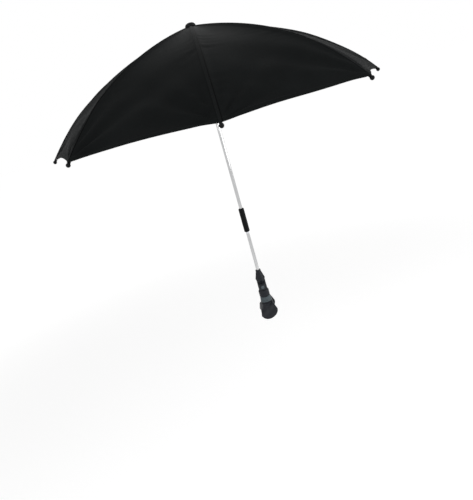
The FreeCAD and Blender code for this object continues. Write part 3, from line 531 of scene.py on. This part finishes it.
FINISHES: dict[Slot, Any] = {
    Slot.CLAMP: PlasticFinish(
        "clamp_plastic", (0.0125, 0.014, 0.0175), (0.042, 0.044, 0.05), gloss=0.48, shine=0.16),
    Slot.BLACK: PlasticFinish(
        "black_plastic", (0.0046, 0.005, 0.0055), (0.018, 0.018, 0.02), gloss=0.42, shine=0.08),
    Slot.GREY: PlasticFinish(
        "grey_plastic", (0.066, 0.083, 0.092), (0.15, 0.17, 0.18), gloss=0.44, shine=0.2),
    Slot.RUBBER: RubberFinish("moulded_rubber", (0.030, 0.030, 0.032)),
    Slot.BRASS: MetalFinish(
        "turned_brass", (0.72, 0.52, 0.24), (0.45, 0.31, 0.14),
        gloss=0.28, stretch=(0.04, 1.0, 1.0)),
    Slot.ZINC: MetalFinish("zinc_steel", (0.62, 0.63, 0.66), (0.42, 0.43, 0.45), gloss=0.34),
    Slot.CHROME: MetalFinish(
        "mast_chrome", (0.525, 0.528, 0.532), (0.43, 0.433, 0.437),
        gloss=0.14, line_depth=0.000004),
    Slot.RIB: MetalFinish(
        "rib_steel", (0.50, 0.51, 0.53), (0.34, 0.35, 0.36), gloss=0.36, stretch=(1.0, 1.0, 0.2)),
    Slot.CLOTH: ClothFinish("canopy_cloth"),
}


@cache
def material_of(slot: Slot) -> bpy.types.Material:
    """Material of a slot, made once and handed out again."""
    return FINISHES[slot].make()


def dress(piece: bpy.types.Object, slot: Slot) -> None:
    """Give a new piece its finish and its slot."""
    piece.data.materials.append(material_of(slot))


@dataclass
class Surface:
    """Points and faces of a mesh, with smooth flags and UV maps by name."""

    points: np.ndarray
    faces: np.ndarray
    smooth: np.ndarray
    maps: Maps = field(default_factory=dict)

    def joined(self, other: "Surface") -> "Surface":
        """This surface and another in one.

        Args:
            other: a surface with the same maps.

        Returns:
            Both.
        """
        return Surface(
            np.vstack([self.points, other.points]),
            np.vstack([self.faces, other.faces + len(self.points)]),
            np.concatenate([self.smooth, other.smooth]),
            {name: np.vstack([values, other.maps[name]]) for name, values in self.maps.items()},
        )

    def to_object(self, name: str) -> bpy.types.Object:
        """Put the surface into the scene.

        Args:
            name: name of the piece.

        Returns:
            The new object, at the origin.
        """
        mesh = bpy.data.meshes.new(name)
        mesh.from_pydata(self.points.tolist(), [], self.faces.tolist())
        mesh.polygons.foreach_set("use_smooth", self.smooth.astype(bool))
        for map_name, values in self.maps.items():
            layer = mesh.uv_layers.new(name=map_name)
            layer.data.foreach_set("uv", values[self.faces.ravel()].astype(np.float32).ravel())
        mesh.update()
        piece = bpy.data.objects.new(name, mesh)
        bpy.context.scene.collection.objects.link(piece)
        return piece


def grid_faces(numbers: np.ndarray) -> np.ndarray:
    """Corners of the four-sided faces of a grid, given the numbers of its points in rows."""
    corners = (numbers[:-1, :-1], numbers[:-1, 1:], numbers[1:, 1:], numbers[1:, :-1])
    return np.stack(corners, -1).reshape(-1, 4)


def turned_points(outline: np.ndarray, angles: np.ndarray) -> np.ndarray:
    """Outline turned about Z: its point (r, z) goes to (r cos a, r sin a, z) for each angle a.

    Args:
        outline: radius and height of its points.
        angles: the angles.

    Returns:
        Points of the turned outline, angle by angle for each point of the outline.
    """
    r, a = np.meshgrid(outline[:, 0], angles, indexing="ij")
    z = np.repeat(outline[:, 1:], len(angles), axis=1)
    return np.stack([r * np.cos(a), r * np.sin(a), z], -1).reshape(-1, 3)


def turned_surface(profile: Sequence[Pair], segments: int) -> Surface:
    """Closed outline turned all the way about Z.

    Args:
        profile: closed outline of radius and height, counter-clockwise seen with r to the right.
        segments: number of steps round the turn.

    Returns:
        The surface.
    """
    points = turned_points(np.array(profile), np.linspace(0.0, FULL_TURN, segments, endpoint=False))
    numbers = np.arange(len(points)).reshape(-1, segments)
    faces = grid_faces(np.pad(numbers, ((0, 1), (0, 1)), mode="wrap"))
    return Surface(points, faces, np.ones(len(faces), bool))


def rounded_outline(corners: Sequence[Vec3], steps: int) -> list[Pair]:
    """Outline with rounded corners.

    Each corner (r, z, radius) is replaced by an arc that touches both of its sides and takes up
    less than half of either.

    Args:
        corners: places of the corners and the radius of each, in order round the outline.
        steps: pieces of each arc.

    Returns:
        Points of the rounded outline.
    """
    result: list[Pair] = []
    count = len(corners)
    side_share = 0.49
    for i, (x, z, radius) in enumerate(corners):
        here = np.array([x, z])
        before = np.array(corners[i - 1][:2]) - here
        after = np.array(corners[(i + 1) % count][:2]) - here
        room = side_share * min(np.linalg.norm(before), np.linalg.norm(after))
        before /= np.linalg.norm(before)
        after /= np.linalg.norm(after)
        half = 0.5 * math.acos(float(np.clip(before @ after, -1.0, 1.0)))
        cut = min(radius / math.tan(half), room)
        size = cut * math.tan(half)
        middle = here + (before + after) / np.linalg.norm(before + after) * size / math.sin(half)
        first, last = here + before * cut - middle, here + after * cut - middle
        angle = math.atan2(first[0] * last[1] - first[1] * last[0], float(first @ last))
        turn = angle * np.linspace(0.0, 1.0, steps + 1)
        square = [-first[1], first[0]]
        arc = np.outer(np.cos(turn), first) + np.outer(np.sin(turn), square) + middle
        result.extend((float(p[0]), float(p[1])) for p in arc)
    return result


@dataclass(frozen=True)
class RibLine:
    """Middle line of a rib: two tangent arcs that fall away from the crown."""

    radius: float = 0.0075
    height: float = 0.678
    slopes_deg: Vec3 = (10.0, 24.0, 47.0)
    lengths: Pair = (0.200, 0.206)

    @property
    def length(self) -> float:
        """Length of the whole line."""
        return sum(self.lengths)

    def at(self, along: np.ndarray, lift: float) -> tuple[np.ndarray, np.ndarray, np.ndarray]:
        """Places on the line.

        On an arc of radius R the slope grows by length / R, and the place moves
        by R times the change of the slope's sine and cosine.

        Args:
            along: lengths from the crown's pin.
            lift: distance above the line, square to it.

        Returns:
            Radius from the mast's axis, height and slope.
        """
        a0, a1, a2 = (math.radians(s) for s in self.slopes_deg)
        inner, outer = self.lengths[0] / (a1 - a0), self.lengths[1] / (a2 - a1)
        near = np.minimum(along, self.lengths[0])
        past = np.maximum(along - self.lengths[0], 0.0)
        bend = a0 + near / inner
        slope = bend + past / outer
        r = self.radius + inner * (np.sin(bend) - math.sin(a0))
        r = r + outer * (np.sin(slope) - np.sin(bend))
        z = self.height + inner * (np.cos(bend) - math.cos(a0))
        z = z + outer * (np.cos(slope) - np.cos(bend))
        return r + lift * np.sin(slope), z + lift * np.cos(slope), slope


RIB_LINE = RibLine()


def rib_angle(index: int) -> float:
    """Direction of a rib round the mast; the first one points to the front."""
    return -math.pi / 2 + 2 * HALF_GORE * index


def ramp(values: np.ndarray, start: Any, width: Any) -> np.ndarray:
    """Straight ramp from 0 at the start to 1 a width further on."""
    return np.clip((values - start) / width, 0.0, 1.0)


def eased(share: np.ndarray) -> np.ndarray:
    """Smooth step s s (3 - 2 s) of shares from 0 to 1, level at both ends."""
    return share * share * (3 - 2 * share)


@dataclass
class GoreFolds:
    """Soft folds of the cloth between two ribs, seeded so that each gore has its own."""

    seed: int
    clear: float = 0.0040
    phase: float = 6.0
    pucker: float = 0.0009
    pucker_pitches: Vec3 = (0.021, 0.034, 0.055)
    pucker_leans: Pair = (-0.5, 0.5)
    pucker_shares: Pair = (0.5, 1.0)
    pucker_fade: float = 0.02
    pucker_ramp: float = 0.004
    drift_pitch: float = 0.17
    drift_shares: Pair = (0.55, 0.45)
    tension: float = 0.0038
    fan_counts: Pair = (8.0, 12.0)
    fan_fades: Pair = (0.07, 0.12)
    fan_start: float = 0.03
    fan_ramp: float = 0.009
    least: float = 1e-4
    swell: float = 0.0028
    swell_pitches: Pair = (0.24, 0.34)
    swell_shares: Pair = (0.6, 0.4)
    slant_pitch: float = 0.19
    slant_leans: Pair = (-1.2, 1.2)

    def height(self, along: np.ndarray, across: np.ndarray, half_width: np.ndarray) -> np.ndarray:
        """Height of the folds over the smooth cloth.

        Args:
            along: lengths along the ribs.
            across: 0 on the gore's first rib, 1 on its second.
            half_width: half the gore's width at each length.

        Returns:
            Heights, zero on both ribs.
        """
        rng = np.random.default_rng(self.seed)
        total = np.zeros_like(along)
        for corner in (0.0, 1.0):
            side = np.abs(across - corner) * 2 * half_width
            total += self._seam(rng, along, side)
        return total + self._swell(rng, along, across)

    def _seam(self, rng: np.random.Generator, along: np.ndarray, side: np.ndarray) -> np.ndarray:
        """Folds along one seam.

        Puckers are waves along the seam that die out away from it, and tension folds are a fan
        of waves round the hem corner that fade with the distance from it.

        Args:
            rng: the gore's random numbers.
            along: lengths along the rib.
            side: distances from its seam.

        Returns:
            Heights.
        """
        waves = np.zeros_like(along)
        for pitch in self.pucker_pitches:
            shift = rng.uniform(0.0, FULL_TURN)
            lean = rng.uniform(*self.pucker_leans)
            share = rng.uniform(*self.pucker_shares)
            waves += share * np.sin(FULL_TURN * (along + lean * side) / pitch + shift)
        beat = np.sin(FULL_TURN * along / self.drift_pitch + rng.uniform(0.0, self.phase))
        steady, swung = self.drift_shares
        drift = (steady + swung * beat) * along / RIB_LINE.length
        die = np.exp(-side / self.pucker_fade) * ramp(side, self.clear, self.pucker_ramp)
        left = RIB_LINE.length - along
        reach = np.hypot(left, side)
        angle = np.arctan2(side, np.maximum(left, self.least))
        fan = np.sin(rng.uniform(*self.fan_counts) * angle + rng.uniform(0.0, self.phase))
        fade = np.exp(-reach / rng.uniform(*self.fan_fades)) * ramp(reach, 0.0, self.fan_start)
        tension = self.tension * fan * fade * ramp(side, self.clear, self.fan_ramp)
        return self.pucker * drift * waves * die + tension

    def _swell(self, rng: np.random.Generator, along: np.ndarray, across: np.ndarray) -> np.ndarray:
        """Two slow waves in the middle of the gore, which grow towards the hem.

        Args:
            rng: the gore's random numbers.
            along: lengths along the ribs.
            across: 0 on the gore's first rib, 1 on its second.

        Returns:
            Heights.
        """
        pitch, shift = rng.uniform(*self.swell_pitches), rng.uniform(0.0, self.phase)
        wave = np.sin(FULL_TURN * along / pitch + shift)
        lean, shift = rng.uniform(*self.slant_leans), rng.uniform(0.0, self.phase)
        slant = np.sin(FULL_TURN * (along / self.slant_pitch + across * lean) + shift)
        of_wave, of_slant = self.swell_shares
        rise = np.sin(math.pi * across) ** 2 * ramp(along, 0.0, RIB_LINE.length)
        return self.swell * rise * (of_wave * wave + of_slant * slant)


@dataclass
class Canopy:
    """Eight stretches of black cloth, each sewn along its rib and meeting its neighbours midway."""

    lift: float = 0.0021
    thickness: float = 0.0005
    start: float = 0.0029
    sag: float = 0.0060
    first_seed: int = 101
    fold_ramp: float = 0.03
    seam_half: float = 0.0030
    seam_rise: float = 0.0008
    seam_step: float = 0.0007
    hem_margin: float = -0.0030
    hem_rises: tuple[float, ...] = (
        0.0052, 0.0085, 0.0075, 0.0085, 0.0080, 0.0085, 0.0080, 0.0045)
    hem_width: float = 0.0092
    hem_raise: float = 0.0004
    hem_step: float = 0.0009
    hem_below: float = 0.5
    flat_half: float = 0.0034
    flat_share: float = 0.2
    flat_fade: float = 3.0
    long_rows: int = 110
    hem_room: float = 0.0125
    hem_rows: tuple[float, ...] = (
        0.0112, 0.0101, 0.0094, 0.0089, 0.0082, 0.0074, 0.0030, 0.0012, 0.0005, 0.0)
    seam_columns: tuple[float, ...] = (
        0.0, 0.0007, 0.0013, 0.0018, 0.0022, 0.0025, 0.0028, 0.0032, 0.0040)
    seam_share: float = 0.45
    wide_columns: int = 26
    last_column: float = 0.995
    closed_share: float = 0.45
    fold_deg: float = 60.0
    strip_start: float = 0.001
    strip_end: float = 0.12
    strip_under: float = 0.0040
    strip_over: float = 0.0020
    strip_room: float = 0.0022
    strip_gap: float = 0.0003
    strip_inner: float = 0.45
    strip_rows: int = 48
    strip_columns: int = 8

    def _grid(self, index: int) -> Grid:
        """Grid of the cloth, finer at the seam and along the hem.

        Args:
            index: number of the rib, from 0; the hem rises by its own amount on either side.

        Returns:
            Length along the rib, share of the way to the next gore's middle from -1 to 1,
            half width in metres, and distance from the hem's edge.
        """
        last = RIB_LINE.length - self.hem_margin
        main = np.linspace(self.start, last - self.hem_room, self.long_rows)
        rows = np.concatenate([main, last - np.array(self.hem_rows)])
        radius, _, _ = RIB_LINE.at(rows, self.lift)
        half_width = radius * math.cos(HALF_GORE) * math.sin(HALF_GORE)
        seam = np.array(self.seam_columns)
        fit = np.minimum(1.0, self.seam_share * half_width / seam[-1])
        near = fit[:, None] * seam[None, :]
        even = np.linspace(0.0, 1.0, self.wide_columns + 1)[1:-1]
        spread = np.concatenate([even, [self.last_column, 1.0]])
        far = near[:, -1:] + (half_width[:, None] - near[:, -1:]) * spread[None, :]
        side = np.hstack([near, far])
        side = np.hstack([-side[:, :0:-1], side])
        share = side / half_width[:, None]
        rise = np.where(share >= 0.0, self.hem_rises[index], self.hem_rises[index - 1])
        bow = rise * (1.0 - (1.0 - np.abs(share)) ** 2)
        progress = (rows - self.start) / (last - self.start)
        along = rows[:, None] - bow * progress[:, None] ** 3
        full = np.ones_like(along)
        edge = np.maximum(last - rows, 0.0)
        return along, share, half_width[:, None] * full, edge[:, None] * full

    def _strip(self, hand: int, sink: float) -> Grid:
        """Grid of a strip under one edge of the cloth, which keeps the gore shut when it folds.

        A rib that has swung down by t carries the cloth's point (x, z) to the distance
        x0 + (x - x0) cos t + (z - z0) sin t from the mast, and the width y shrinks to k y.
        The strip reaches the plane midway between two ribs, where k y is that distance times
        tan b, b being half a gore, and stops short of the next rib.

        Args:
            hand: 1 for the edge towards the next rib, -1 for the other.
            sink: distance below the upper face.

        Returns:
            The same four as a cloth's grid.
        """
        rows = np.linspace(self.start + self.strip_start, self.strip_end, self.strip_rows)
        radius, height, _ = RIB_LINE.at(rows, self.lift - sink)
        half_width = radius * math.cos(HALF_GORE) * math.sin(HALF_GORE)
        swing = math.radians(self.fold_deg)
        out = RIB_LINE.radius * (1.0 - math.cos(swing)) + radius * math.cos(swing)
        out += (height - RIB_LINE.height) * math.sin(swing)
        shrunk = self.closed_share * math.cos(HALF_GORE) * math.sin(HALF_GORE)
        shrunk += math.tan(HALF_GORE) * math.sin(HALF_GORE) ** 2 * math.cos(swing)
        far = math.tan(HALF_GORE) * out / (radius * shrunk) + self.strip_over / half_width
        far = np.minimum(far, 2.0 - self.strip_room / half_width)
        near = np.maximum(self.strip_inner, 1.0 - self.strip_under / half_width)
        used = far > 1.0
        rows, half_width, near, far = rows[used], half_width[used], near[used], far[used]
        columns = np.linspace(0.0, 1.0, self.strip_columns)
        share = near[:, None] + (far - near)[:, None] * columns[None, :]
        if hand < 0:
            share = -share[:, ::-1]
        full = np.ones_like(share)
        return rows[:, None] * full, share, half_width[:, None] * full, RIB_LINE.length * full

    def _raised(self, index: int, grid: Grid, slope: np.ndarray, deep: np.ndarray,
                upper: bool) -> np.ndarray:
        """Height of folds, flat band, seam and hem over the smooth cloth.

        Args:
            index: number of the rib, from 0.
            grid: places on the cloth.
            slope: slope of the rib at each place.
            deep: sag of the gore's middle at each place.
            upper: whether this is the cloth's upper face, which shows the seam.

        Returns:
            Heights, square to the rib.
        """
        along, share, half_width, edge = grid
        away = np.abs(share)
        side = away * half_width
        before = (index - 1) % RIB_COUNT
        right = GoreFolds(self.first_seed + index).height(along, away / 2, half_width)
        left = GoreFolds(self.first_seed + before).height(along, 1.0 - away / 2, half_width)
        folds = np.where(share >= 0.0, right, left) * ramp(along, self.start, self.fold_ramp)
        flat = np.minimum(self.flat_half, self.flat_share * half_width)
        held = np.minimum(side, flat)
        drop = math.tan(HALF_GORE) * held * np.sin(slope)
        drop += deep * (1.0 - (1.0 - held / half_width) ** 2) * np.cos(slope)
        band = drop * (1.0 - eased(ramp(side, flat, self.flat_fade * flat)))
        seam = self.seam_rise * eased(ramp(self.seam_half - side, 0.0, self.seam_step))
        hem = self.hem_raise * eased(ramp(self.hem_width - edge, 0.0, self.hem_step))
        return folds + band + (np.maximum(seam, hem) if upper else -self.hem_below * hem)

    def _skin(self, index: int, grid: Grid, sink: float) -> tuple[np.ndarray, Maps]:
        """One face of the cloth of a rib.

        Between a rib and the next the cloth follows the straight line from rib to rib and dips
        by the sag, apart from a flat band over the rib. Folds, seam and hem push it out in a
        direction that turns evenly from the rib to the middle of the gore.

        Args:
            index: number of the rib, from 0.
            grid: places on the cloth.
            sink: distance below the upper face.

        Returns:
            Points and UV maps.
        """
        along, share, half_width, edge = grid
        radius, height, slope = RIB_LINE.at(along, self.lift - sink)
        away = np.abs(share)
        middle = radius * math.cos(HALF_GORE)
        deep = self.sag * np.sin(math.pi * along / RIB_LINE.length)
        out = self._raised(index, grid, slope, deep, sink == 0.0)
        lean = out * np.sin(slope)
        turn = share * HALF_GORE
        x = radius + away * (middle * math.cos(HALF_GORE) - radius) + lean * np.cos(turn)
        y = share * middle * math.sin(HALF_GORE) + lean * np.sin(turn)
        z = height - deep * (1.0 - (1.0 - away) ** 2) + out * np.cos(slope)
        cosine, sine = math.cos(rib_angle(index)), math.sin(rib_angle(index))
        points = np.stack([x * cosine - y * sine, x * sine + y * cosine, z], -1)
        maps = {
            "seam": np.stack([share * half_width, along], -1).reshape(-1, 2),
            "hem": np.stack([share * half_width, edge], -1).reshape(-1, 2),
            "weave": np.stack([(1.0 - away) * half_width, along], -1).reshape(-1, 2),
        }
        return points.reshape(-1, 3), maps

    def _cloth(self, index: int, grid: Grid, sink: float) -> Surface:
        """Closed thin cloth: two faces joined round their edge.

        Args:
            index: number of the rib, from 0.
            grid: places on the cloth.
            sink: distance of its upper face below the canopy's.

        Returns:
            The surface, with its UV maps.
        """
        top, maps = self._skin(index, grid, sink)
        low, _ = self._skin(index, grid, sink + self.thickness)
        count = len(top)
        numbers = np.arange(count).reshape(grid[0].shape)
        faces = grid_faces(numbers)
        edges = (numbers[0, :], numbers[1:, -1], numbers[-1, -2::-1], numbers[-2:0:-1, 0])
        rim = np.concatenate(edges)
        after = np.roll(rim, -1)
        wall = np.stack([rim, rim + count, after + count, after], -1)
        every = np.vstack([faces[:, ::-1], faces + count, wall[:, ::-1]])
        smooth = np.concatenate([np.ones(2 * len(faces), bool), np.zeros(len(wall), bool)])
        doubled = {name: np.vstack([values, values]) for name, values in maps.items()}
        return Surface(np.vstack([top, low]), every, smooth, doubled)

    def build(self) -> None:
        """Make and dress every stretch of cloth, and hang it on its rib in place of its CAD panel.
        """
        for index in range(RIB_COUNT):
            number = index + 1
            grid = self._grid(index)
            length, width = float(np.ptp(grid[0])), float(2 * grid[2].max())
            cloth = self._cloth(index, grid, 0.0)
            for layer, hand in ((1, 1), (2, -1)):
                sink = layer * (self.thickness + self.strip_gap)
                cloth = cloth.joined(self._cloth(index, self._strip(hand, sink), sink))
            piece = cloth.to_object(f"cloth_{number}")
            dress(piece, Slot.CLOTH)
            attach(piece, f"rib_{number}")
            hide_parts(f"canopy_panel_{number}")
            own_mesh(piece)


@dataclass
class Mast:
    """Two chromed tubes, finely turned so that their reflections run straight."""

    radius: float = 0.004
    wall: float = 0.0008
    lip: float = 0.00025
    lip_steps: int = 5
    lower: Pair = (0.0905, 0.218)
    upper: Pair = (0.242, 0.679)
    slot: Pair = (0.5239, 0.5405)
    slot_half: float = 0.0010
    slot_turn_deg: float = -112.5
    segments: int = 72

    def _tube(self, bottom: float, top: float) -> Surface:
        """Round tube with rolled lips.

        Args:
            bottom, top: heights of its ends.

        Returns:
            The surface.
        """
        inner = self.radius - self.wall
        outline = rounded_outline([
            (inner, bottom, self.lip), (self.radius, bottom, self.lip),
            (self.radius, top, self.lip), (inner, top, self.lip),
        ], self.lip_steps)
        return turned_surface(outline, self.segments)

    def _slotted(self, bottom: float, top: float) -> Surface:
        """Tube with a slot down one side: a wall bent round all but the slot.

        Args:
            bottom, top: heights of its ends.

        Returns:
            The surface.
        """
        gap = math.asin(self.slot_half / self.radius)
        turn = math.radians(self.slot_turn_deg) + np.linspace(gap, FULL_TURN - gap, self.segments)
        inner = self.radius - self.wall
        ring = np.array([(inner, bottom), (self.radius, bottom), (self.radius, top), (inner, top)])
        points = turned_points(ring, turn)
        numbers = np.arange(len(points)).reshape(-1, self.segments)
        faces = grid_faces(np.vstack([numbers, numbers[:1]]))
        ends = np.array([numbers[:, 0], numbers[::-1, -1]])
        smooth = np.repeat([False, True, False, True], self.segments - 1)
        return Surface(points, np.vstack([faces, ends]), np.append(smooth, [False, False]))

    def build(self) -> None:
        """Make and dress both tubes."""
        upper = self._tube(self.upper[0], self.slot[0])
        upper = upper.joined(self._slotted(*self.slot))
        upper = upper.joined(self._tube(self.slot[1], self.upper[1]))
        for name, surface in (("lower_mast", self._tube(*self.lower)), ("upper_mast", upper)):
            piece = surface.to_object(name + "_tube")
            dress(piece, Slot.CHROME)
            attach(piece, name)
            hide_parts(name)
            LOG.info("%s: %d faces", piece.name, len(piece.data.polygons))


@dataclass
class RunnerCatch:
    """Bent leaf spring that gives way as the runner passes it."""

    mast_radius: float = 0.004
    reach: float = 0.0026
    inside: float = 0.0029
    leaf: float = 0.0008
    top: float = 0.5402
    length: float = 0.016
    tail: float = 0.012
    width: float = 0.0014
    turn_deg: float = -112.5
    end_round: float = 0.0002
    bend_round: float = 0.004
    nose_round: float = 0.0005
    hook_round: float = 0.0004
    round_steps: int = 4
    pressed_share: float = 0.22

    def _outline(self) -> np.ndarray:
        """Side view of the leaf.

        Returns:
            Distance from the mast's axis and height of its points.
        """
        out, low = self.mast_radius + self.reach, self.top - self.length
        back, under, foot = self.inside - self.leaf, self.top - self.leaf, low - self.tail
        return np.array(rounded_outline([
            (back, foot, self.end_round), (self.inside, foot, self.end_round),
            (self.inside, low, self.bend_round), (out, under, self.nose_round),
            (out, self.top, self.nose_round), (back, self.top, self.end_round),
            (back, under, self.end_round), (out - 2 * self.leaf, under, self.hook_round),
            (back, low, self.bend_round),
        ], self.round_steps))

    def build(self) -> None:
        """Make the leaf: a line bent at two corners, carried across its width."""
        flat = self._outline()
        count, half = len(flat), self.width / 2
        sides = [np.insert(flat, 1, y, axis=1) for y in (-half, half)]
        way = math.radians(self.turn_deg)
        turn = Matrix.Rotation(way, 4, "Z").to_3x3()
        points = np.vstack(sides) @ np.array(turn).T
        ring = np.arange(count)
        after = np.roll(ring, -1)
        walls = np.stack([ring, after, after + count, ring + count], -1)[:, ::-1].tolist()
        faces = walls + [ring.tolist(), (ring[::-1] + count).tolist()]
        mesh = bpy.data.meshes.new("catch_leaf")
        mesh.from_pydata(points.tolist(), [], faces)
        mesh.update()
        piece = bpy.data.objects.new("catch_leaf", mesh)
        bpy.context.scene.collection.objects.link(piece)
        dress(piece, Slot.ZINC)
        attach(piece, "upper_mast")
        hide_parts("runner_catch")
        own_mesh(piece)
        LOG.info("%s: %d faces", piece.name, len(mesh.polygons))


@dataclass
class RigidPieces:
    """The CAD pieces that show as they are, each with its own finish."""

    skipped: tuple[str, ...] = ("canopy_panel", "lower_mast", "upper_mast", "runner_catch")

    def build(self) -> None:
        """Dress every rigid node with the finish of its slot."""
        slots = {s["node"]: Slot(s["material_slot"]) for s in frame["record"]["subparts"]}
        for name, node in frame["nodes"].items():
            if name.startswith(self.skipped):
                continue
            node.data.materials.clear()
            node.data.materials.append(material_of(slots[name]))
            LOG.info("%s: %s", name, slots[name].value)


@dataclass(frozen=True)
class Lamp:
    """Soft square lamp: its place, what it points at, its width, and its power in watts."""

    name: str
    place: Vec3
    aim: Vec3
    size: float
    power: float

    def hang(self) -> None:
        """Put the lamp into the scene."""
        data = bpy.data.lights.new(self.name, "AREA")
        data.shape, data.size, data.energy = "SQUARE", self.size, self.power
        lamp = bpy.data.objects.new(self.name, data)
        lamp.location = self.place
        way = Vector(self.aim) - Vector(self.place)
        lamp.rotation_euler = way.to_track_quat("-Z", "Y").to_euler()
        bpy.context.scene.collection.objects.link(lamp)


@dataclass
class Studio:
    """Camera, lamps, pale floor and white surroundings."""

    place: Vec3 = (-0.0140, -1.0344, 0.5372)
    yaw_deg: float = -1.28
    pitch_deg: float = 18.84
    roll_deg: float = 16.16
    focal_px: float = 451.4
    lamps: tuple[Lamp, ...] = (
        Lamp("key", (-1.0, -1.8, 1.2), (0.0, 0.0, 0.4), 1.4, 20.0),
        Lamp("side", (1.8, -0.8, 0.7), (0.1, 0.0, 0.5), 1.2, 24.0),
        Lamp("back", (0.3, 1.9, 1.7), (0.0, 0.0, 0.5), 1.2, 6.0),
    )
    world_light: float = 0.55
    floor_height: float = -0.62
    floor_size: float = 60.0
    floor_colour: Colour = (0.92, 0.92, 0.92)
    floor_gloss: float = 0.9
    near_white: float = 0.25
    far_white: float = 0.5
    near_square: float = 0.1
    lamp_reach: float = 3.2

    def build(self) -> None:
        """Set up everything round the object."""
        self._camera()
        for lamp in self.lamps:
            lamp.hang()
        self._world()
        self._floor()
        bpy.context.scene.view_settings.view_transform = "Standard"

    def _camera(self) -> None:
        """Aim the camera: turned by its yaw, tipped down by its pitch, then rolled."""
        yaw, pitch, roll = (math.radians(d) for d in (self.yaw_deg, self.pitch_deg, self.roll_deg))
        right = Vector((math.cos(yaw), -math.sin(yaw), 0.0))
        level = Vector((math.sin(yaw), math.cos(yaw), 0.0))
        forward = level * math.cos(pitch) - Vector((0.0, 0.0, 1.0)) * math.sin(pitch)
        up = level * math.sin(pitch) + Vector((0.0, 0.0, 1.0)) * math.cos(pitch)
        across = right * math.cos(roll) - up * math.sin(roll)
        above = right * math.sin(roll) + up * math.cos(roll)
        data = bpy.data.cameras.new("camera")
        data.lens = self.focal_px / max(PHOTO_SIZE) * data.sensor_width
        camera = bpy.data.objects.new("camera", data)
        turn = Matrix((across, above, -forward)).transposed().to_4x4()
        camera.matrix_world = Matrix.Translation(Vector(self.place)) @ turn
        bpy.context.scene.collection.objects.link(camera)
        bpy.context.scene.camera = camera

    def _world(self) -> None:
        """White for what the camera and shiny surfaces see, and dimmer as a light."""
        world = bpy.data.worlds.new("studio")
        bpy.context.scene.world = world
        graph = Graph(world)
        seen = graph.background_rays()
        strength = self.world_light + seen * (1.0 - self.world_light)
        inputs = {"Color": (1.0, 1.0, 1.0, 1.0), "Strength": strength}
        back = graph.add("ShaderNodeBackground", {}, inputs)
        graph.close("ShaderNodeOutputWorld", back)

    def _floor(self) -> None:
        """Large pale floor below the object, shown as white but keeping its shadow."""
        half = self.floor_size / 2
        corners = np.array([(-half, -half), (half, -half), (half, half), (-half, half)])
        points = np.column_stack([corners, np.full(len(corners), self.floor_height)])
        sheet = Surface(points, np.arange(len(corners))[None, :], np.zeros(1, bool))
        floor = sheet.to_object("studio_floor")
        graph = Graph.paint("studio_floor")
        x, y, _ = graph.axes(graph.objects())
        away = (x * x + y * y).between(self.near_square, self.lamp_reach ** 2)
        glow = self.near_white + away * (self.far_white - self.near_white)
        floor.data.materials.append(graph.finish({
            "Base Color": (*self.floor_colour, 1.0),
            "Roughness": self.floor_gloss,
            "Specular IOR Level": 0.0,
            "Emission Color": graph.background_rays() * glow,
            "Emission Strength": 1.0,
        }))


def main() -> None:
    """Build the parasol and its studio in order."""
    logging.basicConfig(level=logging.INFO, format="%(name)s %(message)s")
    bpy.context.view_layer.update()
    for part in (RigidPieces(), Mast(), RunnerCatch(), Canopy(), Studio()):
        part.build()
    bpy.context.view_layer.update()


if __name__ == "__main__":
    main()
